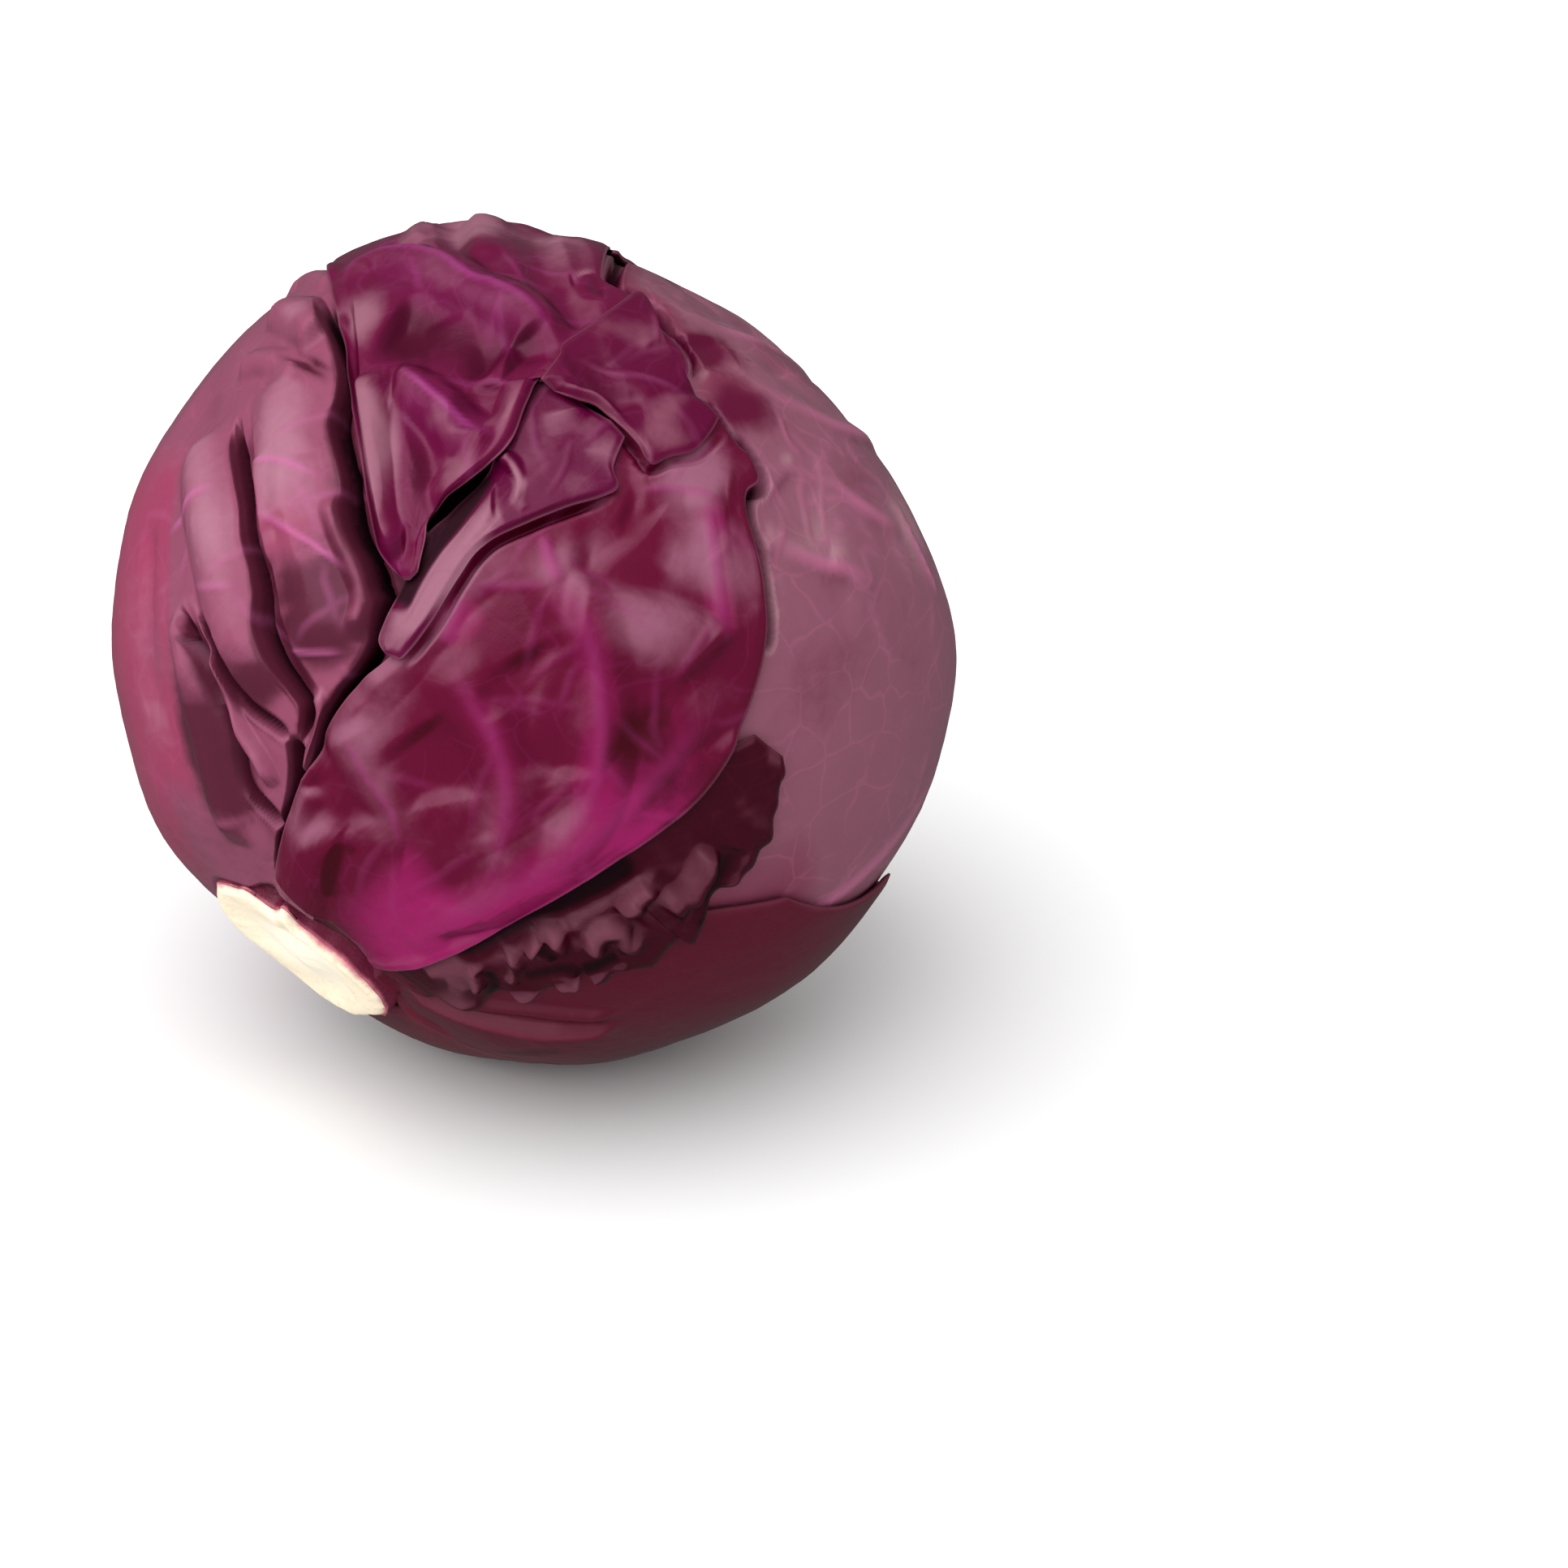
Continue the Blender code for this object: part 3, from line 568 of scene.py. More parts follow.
def margin_distance(net):
    """How far each vertex is from the leaf's nearest edge, in metres."""
    step_u = np.linalg.norm(net[1:] - net[:-1], axis=-1) * HEAD_RADIUS
    step_v = np.linalg.norm(net[:, 1:] - net[:, :-1], axis=-1) * HEAD_RADIUS
    along_u = np.concatenate((np.zeros((1, net.shape[1])), np.cumsum(step_u, axis=0)))
    along_v = np.concatenate((np.zeros((net.shape[0], 1)), np.cumsum(step_v, axis=1)), axis=1)
    edges = (along_u, along_u[-1:] - along_u, along_v, along_v[:, -1:] - along_v)
    return np.minimum.reduce(edges)


def leaf_surface(leaf):
    """Directions, outer radius and inner radius of a leaf's grid, and its masks for the finish."""
    sizes = bpy.context.scene.cabbage_sizes
    net = leaf_directions(leaf)
    share = np.linspace(0.0, 1.0, net.shape[1])[None, :]
    across = np.linspace(0.0, 1.0, net.shape[0])[:, None]
    rise, drop = fold_relief(net, leaf.folds)
    vein_rise = np.zeros(net.shape[:2])
    vein_share = np.zeros(net.shape[:2])
    for line in leaf.veins:
        values = line_field(net, line)
        vein_rise = np.maximum(vein_rise, values * line.amount)
        vein_share = np.maximum(vein_share, values * min(1.0, line.amount / VEIN_FULL))
    tone_and_light_sum = sum((line.amount * line_field(net, line) for line in leaf.washes), np.zeros(net.shape[:2]))
    flush = sum((line.amount * line_field(net, line) for line in leaf.flushes), np.zeros(net.shape[:2]))
    margin = margin_distance(net)
    own = leaf.foot_radius + (leaf.radius - leaf.foot_radius) * blend(0.0, FOOT_SHARE, share)
    own = own * head_scale(net) + leaf.ripple * (ripples(net) + CREASE_SHARE * creases(net))
    own = own - leaf.curl * (1.0 - blend(0.0, CURL_WIDTH, margin))
    turns = 2.0 * math.pi * leaf.ruffle_waves * share
    wave = RUFFLE_MIDDLE + RUFFLE_PARTS[0] * np.sin(turns)
    wave = wave + RUFFLE_PARTS[1] * np.sin(RUFFLE_FASTER * turns + RUFFLE_SLANT * across)
    own = own + leaf.ruffle * wave * blend(RUFFLE_FROM, 1.0, across) + rise + drop
    if leaf.lean:
        sideways = unit(np.cross(net, STEM))
        net = unit(net + sideways * (leaf.lean * drop / HEAD_RADIUS)[..., None])
    thick = sizes.thickness * (EDGE_THICKNESS + (1.0 - EDGE_THICKNESS) * blend(0.0, sizes.margin, margin))
    least = drape_radius(net) + sizes.gap + sizes.thickness
    outer = soft_maximum(own, least) + vein_rise
    outer = outer - OUTER_SHARE * (sizes.thickness - thick)
    masks = {
        "vein": vein_share,
        "tone_and_light_wash": tone_and_light_sum,
        "flush": flush,
        # Painted shade in the deep folds, painted highlight on the crests and along the edges
        "hollow_shade": np.clip((-drop - HOLLOW_SHADE_FROM) / HOLLOW_SHADE_DEPTH, 0.0, 1.0),
        "crest": np.clip(rise / CREST_LIGHT_FULL, 0.0, 1.0),
        "margin": 1.0 - blend(0.0, EDGE_LIGHT_WIDTH, margin),
    }
    return net, outer, outer - thick, masks


def soft_maximum(first, second, width=0.0006):
    """The greater of two grids, rounded where they cross, and never less than either."""
    gap = first - second
    return 0.5 * (first + second + np.sqrt(gap * gap + width * width))


def add_leaf(leaf):
    """A slab on a flat grid, moved to its place on the head, that replaces the leaf's node."""
    net, outer, inner, masks = leaf_surface(leaf)
    across, along = net.shape[0] - 1, net.shape[1] - 1
    bm = bmesh.new()
    bmesh.ops.create_grid(bm, x_segments=across, y_segments=along, size=GRID_SIDE)
    bmesh.ops.solidify(bm, geom=bm.faces[:] + bm.edges[:] + bm.verts[:], thickness=GRID_DEPTH)
    mesh = bpy.data.meshes.new(leaf.name + "_skin")
    bm.to_mesh(mesh)
    bm.free()
    flat = np.empty(len(mesh.vertices) * 3)
    mesh.vertices.foreach_get("co", flat)
    flat = flat.reshape(-1, 3)
    i = np.rint((flat[:, 0] + GRID_SIDE) * across).astype(int)
    j = np.rint((flat[:, 1] + GRID_SIDE) * along).astype(int)
    under = flat[:, 2] < flat[:, 2].mean()
    out = np.where(under, inner[i, j], outer[i, j])
    places = MIDDLE + net[i, j] * out[:, None]
    if leaf.flat:
        floor = np.where(under, outer[i, j] - inner[i, j], 0.0)
        places[:, 2] = np.maximum(places[:, 2], floor)
    mesh.vertices.foreach_set("co", places.ravel())
    for name, values in masks.items():
        mesh.attributes.new(name, "FLOAT", "POINT").data.foreach_set("value", values[i, j])
    bm = bmesh.new()
    bm.from_mesh(mesh)
    bmesh.ops.recalc_face_normals(bm, faces=bm.faces[:])
    bm.to_mesh(mesh)
    bm.free()
    mesh.shade_smooth()
    mesh.materials.append(leaf_material(leaf.name, leaf.net, leaf.relief))
    piece = bpy.data.objects.new(leaf.name + "_skin", mesh)
    bpy.context.scene.collection.objects.link(piece)
    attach(piece, "root")
    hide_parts(leaf.name)
    shell = MIDDLE + net * outer[..., None]
    SHELLS.append(shell[thin_out(shell.shape[0])][:, thin_out(shell.shape[1])])


class Tree:
    """Short calls for making nodes and links in a node tree."""

    def __init__(self, tree):
        self.nodes = tree.nodes
        self.links = tree.links

    def node(self, kind, values=None, **settings):
        made = self.nodes.new(kind)
        for key, value in settings.items():
            setattr(made, key, value)
        for key, value in (values or {}).items():
            if isinstance(value, bpy.types.NodeSocket):
                self.links.new(value, made.inputs[key])
            else:
                made.inputs[key].default_value = value
        return made

    def math(self, operation, first, second=0.0, clamp=False):
        made = self.node("ShaderNodeMath", {0: first, 1: second}, operation=operation, use_clamp=clamp)
        return made.outputs[0]

    def vector(self, operation, first, second=(0.0, 0.0, 0.0), **values):
        made = self.node("ShaderNodeVectorMath", {0: first, 1: second, **values}, operation=operation)
        return made.outputs["Value" if operation == "DOT_PRODUCT" else "Vector"]

    def mix(self, factor, first, second):
        return self.node("ShaderNodeMix", {0: factor, 6: first, 7: second}, data_type="RGBA").outputs[2]

    def attribute(self, name):
        return self.node("ShaderNodeAttribute", attribute_name=name).outputs["Fac"]

    def noise(self, vector, scale, detail):
        values = {"Vector": vector, "Scale": scale, "Detail": detail, "Roughness": 0.55}
        return self.node("ShaderNodeTexNoise", values).outputs["Fac"]

    def remap(self, value, low, high):
        values = {0: value, 1: low, 2: high, 3: 0.0, 4: 1.0}
        return self.node("ShaderNodeMapRange", values, interpolation_type="SMOOTHSTEP").outputs[0]


def new_group(name, inputs, outputs):
    """A shader node group with named sockets, its inputs by name, and its output node."""
    group = bpy.data.node_groups.new(name, "ShaderNodeTree")
    for label, kind, default in inputs:
        socket = group.interface.new_socket(name=label, in_out="INPUT", socket_type=kind)
        socket.default_value = default
    for label, kind in outputs:
        group.interface.new_socket(name=label, in_out="OUTPUT", socket_type=kind)
    tree = Tree(group)
    return group, tree, tree.node("NodeGroupInput").outputs, tree.node("NodeGroupOutput")


def leaf_skin_group():
    """Colour, roughness and height of a waxy leaf from its masks, its relief and noise, with light and shade
    painted into the colour.
    """
    if "leaf_skin" in bpy.data.node_groups:
        return bpy.data.node_groups["leaf_skin"]
    colour = "NodeSocketColor"
    number = "NodeSocketFloat"
    group, tree, given, result = new_group(
        "leaf_skin",
        [("Deep", colour, (0.1, 0.0, 0.0, 1)), ("Body", colour, (0.3, 0.1, 0.1, 1)),
         ("Pale", colour, (0.5, 0.3, 0.3, 1)), ("Vein", colour, (0.5, 0.1, 0.3, 1)),
         ("Flush", colour, (0.5, 0.1, 0.3, 1)), ("Mottle", number, 0.5), ("Net", number, 0.1),
         ("Relief", number, 1.3)],
        [("Color", colour), ("Roughness", number), ("Height", number)])
    # Patches, fibres and grain
    coordinates = tree.node("ShaderNodeTexCoord").outputs
    place = coordinates["Object"]
    sway = tree.node("ShaderNodeTexNoise", {"Vector": place, "Scale": 60.0, "Detail": 2.0}).outputs["Color"]
    shift = tree.vector("SCALE", tree.vector("SUBTRACT", sway, (0.5, 0.5, 0.5)), Scale=0.012)
    bent = tree.vector("ADD", place, shift)
    broad = tree.noise(place, 26.0, 2.0)
    patchy = tree.noise(bent, 75.0, 4.0)
    fibres = tree.noise(bent, 420.0, 3.0)
    grain = tree.noise(place, 2600.0, 2.0)
    mottle = tree.math("SUBTRACT", tree.math("ADD", broad, patchy), 1.0)
    mottle = tree.math("ADD", mottle, tree.math("MULTIPLY", tree.math("SUBTRACT", fibres, 0.5), 0.45))
    mottle = tree.math("MULTIPLY", mottle, given["Mottle"])
    # Painted highlight on slopes that face the painted light's side and on crests, painted shade in deep
    # colour on slopes turned away and in hollows
    outward = tree.vector("NORMALIZE", tree.vector("SUBTRACT", place, tuple(MIDDLE)))
    lit_slope = tree.vector("DOT_PRODUCT", tree.vector("SUBTRACT", coordinates["Normal"], outward), PAINTED_LIGHT_SIDE)
    lit_slope = tree.math("MINIMUM", tree.math("MAXIMUM", lit_slope, -0.40), 0.35)
    hollow_shade = tree.attribute("hollow_shade")
    level = tree.math("ADD", tree.attribute("tone_and_light_wash"), mottle)
    level = tree.math("ADD", level, tree.math("MULTIPLY", lit_slope, given["Relief"]))
    level = tree.math("ADD", level, tree.math("MULTIPLY", tree.attribute("crest"), 0.15))
    level = tree.math("SUBTRACT", level, tree.math("MULTIPLY", hollow_shade, 1.4))
    toward_deep_and_shade = tree.remap(level, -0.02, -0.80)
    toward_pale_and_lit = tree.remap(level, 0.0, 0.95)
    flushed = tree.math("ADD", tree.attribute("flush"), tree.math("MULTIPLY", mottle, 0.3), clamp=True)
    flushed = tree.math("MULTIPLY", flushed, tree.remap(flushed, 0.0, 0.3))
    skin = tree.mix(flushed, given["Body"], given["Flush"])
    skin = tree.mix(toward_pale_and_lit, skin, given["Pale"])
    skin = tree.mix(toward_deep_and_shade, skin, given["Deep"])
    # A net of fine veins over the drawn ones, a painted highlight along the edge, and near black painted
    # shade in the deepest folds
    cells = tree.node("ShaderNodeTexVoronoi", {"Vector": bent, "Scale": 95.0, "Randomness": 0.9},
                      feature="DISTANCE_TO_EDGE").outputs["Distance"]
    lines = tree.remap(cells, 0.045, 0.0)
    network = tree.math("MULTIPLY", lines, given["Net"])
    network = tree.math("MULTIPLY", network, tree.remap(patchy, 0.35, 0.55))
    network = tree.math("MULTIPLY", network, tree.math("SUBTRACT", 1.0, toward_deep_and_shade))
    veined = tree.math("ADD", tree.math("MULTIPLY", tree.attribute("vein"), 0.85), network, clamp=True)
    skin = tree.mix(veined, skin, given["Vein"])
    skin = tree.mix(tree.math("MULTIPLY", tree.attribute("margin"), 0.4), skin, given["Pale"])
    shade = tree.math("MULTIPLY", tree.remap(hollow_shade, 0.35, 1.0), 0.92)
    skin = tree.mix(shade, skin, (0.006, 0.0, 0.001, 1))
    tree.links.new(skin, result.inputs["Color"])
    # Pale wax with its painted highlight, and folds with painted shade, are duller
    rough = tree.math("ADD", tree.math("MULTIPLY", toward_pale_and_lit, 0.14), tree.math("MULTIPLY", grain, 0.08))
    rough = tree.math("ADD", rough, tree.math("MULTIPLY", shade, 0.5))
    tree.links.new(tree.math("ADD", rough, 0.32), result.inputs["Roughness"])
    height = tree.math("ADD", tree.math("MULTIPLY", network, 1.0), tree.math("MULTIPLY", grain, 0.10))
    height = tree.math("ADD", height, tree.math("MULTIPLY", fibres, 0.45))
    tree.links.new(height, result.inputs["Height"])
    return group


def new_material(name):
    """A material, its node tree and its shader."""
    made = bpy.data.materials.new(name)
    made.use_nodes = True
    tree = Tree(made.node_tree)
    shader = made.node_tree.nodes["Principled BSDF"]
    return made, tree, shader


def leaf_material(name, net=Leaf.net, relief=Leaf.relief):
    """The waxy finish of one leaf in its own colours, with painted light and shade."""
    colours = bpy.context.scene.cabbage_colours
    made, tree, shader = new_material(name + "_wax_and_painted_light")
    skin = tree.node("ShaderNodeGroup", node_tree=leaf_skin_group())
    for tone in TONE_NAMES:
        skin.inputs[tone.capitalize()].default_value = (*getattr(colours, name + "_" + tone), 1.0)
    skin.inputs["Net"].default_value = net
    skin.inputs["Relief"].default_value = relief
    height = skin.outputs["Height"]
    bump = tree.node("ShaderNodeBump", {"Height": height, "Strength": 0.35, "Distance": 0.0004})
    tree.links.new(skin.outputs["Color"], shader.inputs["Base Color"])
    tree.links.new(skin.outputs["Roughness"], shader.inputs["Roughness"])
    tree.links.new(bump.outputs["Normal"], shader.inputs["Normal"])
    shader.inputs["IOR"].default_value = 1.45
    shader.inputs["Specular IOR Level"].default_value = 0.34
    shader.inputs["Specular Tint"].default_value = (1.0, 0.55, 0.75, 1.0)
    return made


def left_leaf():
    """The pleated leaf. Its rails follow the pleats, and its lines of crevices lie on them."""
    crown_gap = seen("398,362 412,400 424,440 425,478 417,505 415,524 423,555 433,592 432,616 438,648"
        " 448,672 460,692 464,716 475,738 469,760 464,795 448,826 420,860 402,895 388,945 376,990")
    middle_gap = seen("294,510 289,545 295,592 301,624 304,656 314,698 320,736 322,768 334,800 350,832"
        " 366,856 376,874 373,900 367,930")
    lower_gap = seen("224,748 236,768 246,798 262,836 277,875 287,912 291,948 303,980 330,1010 350,1032")
    upper_slot = seen("246,758 260,788 275,822 292,852 310,878 337,900 356,915")
    side_slot = seen("352,905 358,935 358,965 352,1005 342,1085")
    crown_folds, crown_gap_shade = crevice(crown_gap, 0.011, 0.011, 0.0012)
    middle_folds, middle_gap_shade = crevice(middle_gap, 0.0085, 0.0046, 0.001)
    lower_folds, lower_gap_shade = crevice(lower_gap, 0.0085, 0.003, 0.001)
    slot_folds, slot_gap_shade = crevice(upper_slot, 0.006, 0.0024, 0.0009)
    return Leaf(
        name="left_leaf", radius=0.08, foot_radius=0.0785, columns=(12, 26, 16, 64, 66, 12), rows=240,
        gather=0.6, lean=0.12,
        rails=[
            around("150,19 146,40 140,62 132,85 122,104 112,116"),
            around("112,15 106,34 100,50 92,66 86,82 84,96 84,112"),
            path(around("46,15"), seen("322,1050 304,998 290,955 285,909 277,868 264,830"),
                seen("250,798 236,772 222,735 222,650 246,560 280,470 330,378"), around("84,116")),
            path(around("36,17"), seen("338,1048 342,1002 336,966 321,938 304,910 286,876"),
                seen("272,840 260,808 247,775 236,732 238,650 258,570 284,490"), seen("316,414 345,366"),
                around("84,118")),
            path(around("26,19"), seen("347,1062 358,990 366,932 374,900 376,870"),
                seen("364,850 347,824 332,795 321,760 316,700 304,652 298,600 292,550"),
                seen("298,490 326,420 356,360"), around("84,121")),
            path(around("14,19"), seen("372,1060 380,985 390,940 402,895 420,860"),
                seen("446,828 464,796 472,758 472,730 462,700 448,672 438,645"),
                seen("432,600 424,560 416,520 422,470 412,405 396,350"), around("84,124")),
            path(around("4,19"), seen("430,985 465,900 520,810 545,740 520,640"),
                seen("490,520 465,430 440,358"), around("80,128")),
        ],
        folds=crown_folds + middle_folds + lower_folds + slot_folds + [
            Line(side_slot, -0.0055, 0.0034, 0.0016, 2.2),
            Line(seen("340,440 372,446 398,458 420,470"), -0.0016, 0.0016, 0.0018, 1.4, 0.5),
            Line(seen("200,600 250,510 310,430"), -0.0024, 0.014, 0.014, 1.2, 0.5),
            Line(seen("346,356 380,346 412,350"), 0.0018, 0.004, 0.004, 1.6),
            Line(seen("346,392 372,398 400,420"), 0.0036, 0.007, 0.005, 1.3),
            fold(seen("352,450 350,540 360,620 372,690 394,770 402,830"), 0.0028, 0.01, 0.008),
            Line(seen("296,455 330,447 380,462"), 0.0018, 0.004, 0.004, 1.6),
            fold(seen("255,520 252,600 268,690 296,790 345,862"), 0.0028, 0.007),
            fold(seen("222,740 236,800 246,880 262,960 296,1050"), 0.003, 0.005),
            fold(seen("256,800 272,840 286,876 304,910 321,938 338,975"), 0.0024, 0.0022),
            Line(seen("384,850 394,874 392,905 382,938 374,958"), 0.0022, 0.0024, 0.0024, 1.6),
            Line(seen("410,610 424,660 440,700 450,740 440,790"), 0.0022, 0.0026, 0.003, 1.6),
            Line(seen("184,640 180,720 184,800 196,900"), -0.001, 0.004, 0.003, 1.6),
            Line(seen("325,560 320,640 336,700"), 0.001, 0.004, 0.004, 1.6),
            Line(seen("385,560 386,640 400,690"), -0.0008, 0.005, 0.005, 1.6),
            Line(seen("340,640 352,700 360,760"), -0.0008, 0.005, 0.005, 1.6),
        ],
        veins=[
            vein(seen("300,572 350,574 385,584 402,594"), 0.0003, 0.001),
            vein(seen("314,632 345,645 400,678 440,712"), 0.0003, 0.001),
            vein(seen("278,595 240,628 205,661"), 0.0003, 0.0013),
            vein(seen("240,722 270,726 302,722"), 0.0002, 0.001),
            vein(seen("345,800 380,804 432,804"), 0.00025, 0.0009),
        ],
        # The crevices' lines of painted shade, then pale washes of painted highlight on the pleats' crests
        # and the lit left side, and dark washes of painted shade on their walls and in the folds
        washes=crown_gap_shade + middle_gap_shade + lower_gap_shade + slot_gap_shade + [
            tone_and_light_wash(seen("320,460 340,520 345,620 365,690 372,740"), 0.54, 0.012),
            tone_and_light_wash(seen("258,540 258,620 275,700 290,760"), 0.45, 0.009),
            tone_and_light_wash(seen("346,404 372,398 396,408"), 0.35, 0.007),
            tone_and_light_wash(seen("350,440 385,458 412,480"), -0.54, 0.004),
            tone_and_light_wash(seen("396,480 404,560 420,640 446,720"), -0.36, 0.003),
            tone_and_light_wash(seen("365,640 385,700 400,780 405,860"), -1.1, 0.012),
            tone_and_light_wash(seen("290,760 320,820 355,885"), -0.8, 0.009),
            tone_and_light_wash(seen("234,760 240,860 262,960 320,1070"), -1.0, 0.011),
            tone_and_light_wash(seen("262,850 280,950 320,1030"), -1.2, 0.009),
            tone_and_light_wash(seen("336,980 345,1020 350,1060"), -0.54, 0.006),
            tone_and_light_wash(seen("262,620 250,560 262,500"), 0.27, 0.006),
            tone_and_light_wash(seen("190,780 196,890 214,980"), 0.35, 0.01),
        ],
        flushes=[
            Line(seen("230,520 178,660 160,800 170,930 204,1030 244,1096"), 1.0, 0.013, 0.022, 1.0),
            Line(seen("214,560 200,660 202,760 214,860"), 0.8, 0.004, 0.005, 1.2, 0.3),
            Line(seen("196,800 202,900 222,1000"), 1.0, 0.01, 0.008, 1.0, 0.3),
            Line(around("112,20 108,40 104,60 98,85"), 1.0, 0.03, 0.03, 1.0),
            Line(seen("300,590 340,640 400,700"), 0.6, 0.007, 0.007, 1.2, 0.4),
        ])


def crown_leaf():
    """The leaf over the top. Its middle rails run up the folded lobe."""
    crest = seen("420,366 440,340 480,322 540,326 579,350 607,359 643,377 671,405 696,428")
    left_margin = seen("420,370 424,430 426,480 434,528 442,575 450,621 460,668 484,704")
    right_margin = seen("690,436 655,475 636,515 627,546 606,566 575,592 540,616 522,640")
    return Leaf(
        name="crown_leaf", radius=0.08, foot_radius=0.08, columns=(46, 52, 76), rows=200, gather=0.3,
        rails=[
            path(seen("494,711 474,692 458,664 449,621 441,575 433,528 424,482"),
                seen("419,450 418,410 410,350"), around("98,120 108,134 124,148")),
            path(seen("500,716 490,640 482,560 474,480 474,400 482,322"), around("76,132 90,146 125,158")),
            path(seen("508,716 526,620 570,560 600,480 605,420 612,360 640,290"),
                around("60,146 74,158 130,166")),
            path(seen("518,706 526,668 534,630 585,590 628,552 650,500 676,456"),
                seen("720,480 800,490 842,470 842,440 806,400 785,372 750,352"), seen("742,334 754,308"),
                around("46,144 58,156 90,166 150,172")),
        ],
        folds=[
            fold(left_margin, -0.0036, 0.003, 0.0024),
            fold(crest, 0.003, 0.006, 0.007),
            Line(seen("479,468 507,471 543,500 579,529 615,546"), 0.003, 0.005, 0.007, 1.3),
            Line(seen("452,455 460,529 466,607 476,665 494,700"), 0.0034, 0.0045, 0.0055, 1.3),
            fold(right_margin, 0.0026, 0.0035, 0.005),
            Line(seen("470,400 520,404 560,424 620,450"), -0.0034, 0.01, 0.01, 1.3),
            Line(seen("500,500 514,570 518,620 510,665"), -0.0018, 0.005, 0.006, 1.2, 0.3),
            fold(seen("600,470 590,510 585,540"), -0.0016, 0.005),
            Line(seen("522,630 512,650 510,690"), -0.0022, 0.0016, 0.002, 1.4, 0.3),
            fold(seen("640,410 655,440 650,480"), -0.0024, 0.005),
            fold(seen("722,338 730,360 748,366"), -0.004, 0.0035),
            fold(seen("690,300 725,300 752,309"), 0.0006, 0.005, 0.004),
            Line(seen("470,296 540,276 620,262 690,272 715,290"), 0.0017, 0.014, 0.014, 1.2, 0.3),
            fold(seen("424,330 440,322 456,322"), 0.0012, 0.004),
            fold(seen("500,300 518,286 530,276"), 0.0014, 0.005),
            fold(seen("600,320 594,290 596,262"), 0.0014, 0.005),
            fold(seen("650,280 668,320 690,372"), -0.0014, 0.005),
            fold(seen("560,268 560,300 550,320"), -0.0014, 0.004),
            fold(seen("690,340 705,380 730,400"), -0.0016, 0.005),
            fold(seen("480,290 500,305 540,310"), -0.001, 0.004),
            fold(seen("545,380 560,430 566,480"), 0.0012, 0.005),
        ],
        veins=[
            vein(crest, 0.0003, 0.0012),
            vein(seen("479,468 507,471 543,500 579,529 621,546"), 0.0003, 0.0011),
            Line(seen("610,300 640,335 655,372"), 0.0001, 0.0009, 0.0009, 2.0, 0.4),
        ],
        washes=[
            # Pale washes on the ridges and over the top are painted highlight, dark ones in the hollows
            # between them painted shade
            tone_and_light_wash(seen("450,440 460,529 470,607 480,665 494,700"), 1.5, 0.006),
            tone_and_light_wash(seen("425,360 440,400 452,450"), 1.0, 0.008),
            tone_and_light_wash(seen("526,500 538,525 536,555"), 0.42, 0.005),
            tone_and_light_wash(seen("552,395 590,425 606,455"), 0.27, 0.006),
            tone_and_light_wash(seen("518,395 530,430 530,470"), 0.21, 0.005),
            tone_and_light_wash(seen("530,595 560,574 592,548"), 0.33, 0.007),
            tone_and_light_wash(seen("480,360 500,400 495,470"), -0.42, 0.008),
            tone_and_light_wash(seen("545,360 560,400 560,470"), -0.36, 0.006),
            tone_and_light_wash(seen("610,380 630,430 640,480"), -0.42, 0.007),
            tone_and_light_wash(seen("490,540 500,600 520,640"), -0.36, 0.008),
            tone_and_light_wash(seen("430,330 500,298 600,285 680,310 730,350"), 1.0, 0.014),
            tone_and_light_wash(seen("640,330 690,370 740,400"), 0.15, 0.012),
            tone_and_light_wash(seen("580,292 588,312 585,330"), -0.48, 0.006),
            tone_and_light_wash(seen("640,285 655,320 668,345"), -0.48, 0.006),
            tone_and_light_wash(seen("700,300 730,296 752,300"), -0.3, 0.006),
            tone_and_light_wash(seen("715,330 726,345 734,352"), 0.48, 0.003),
            tone_and_light_wash(seen("648,479 630,518 610,556"), 0.36, 0.0016),
        ],
        flushes=[
            Line(seen("430,356 480,332 560,345 620,370 690,430"), 0.9, 0.003, 0.01, 1.0, 0.3),
            Line(seen("490,480 550,516 610,548"), 0.8, 0.006, 0.008, 1.2, 0.3),
            Line(seen("470,660 490,700 515,700"), 0.8, 0.004, 0.004, 1.2, 0.3),
        ])


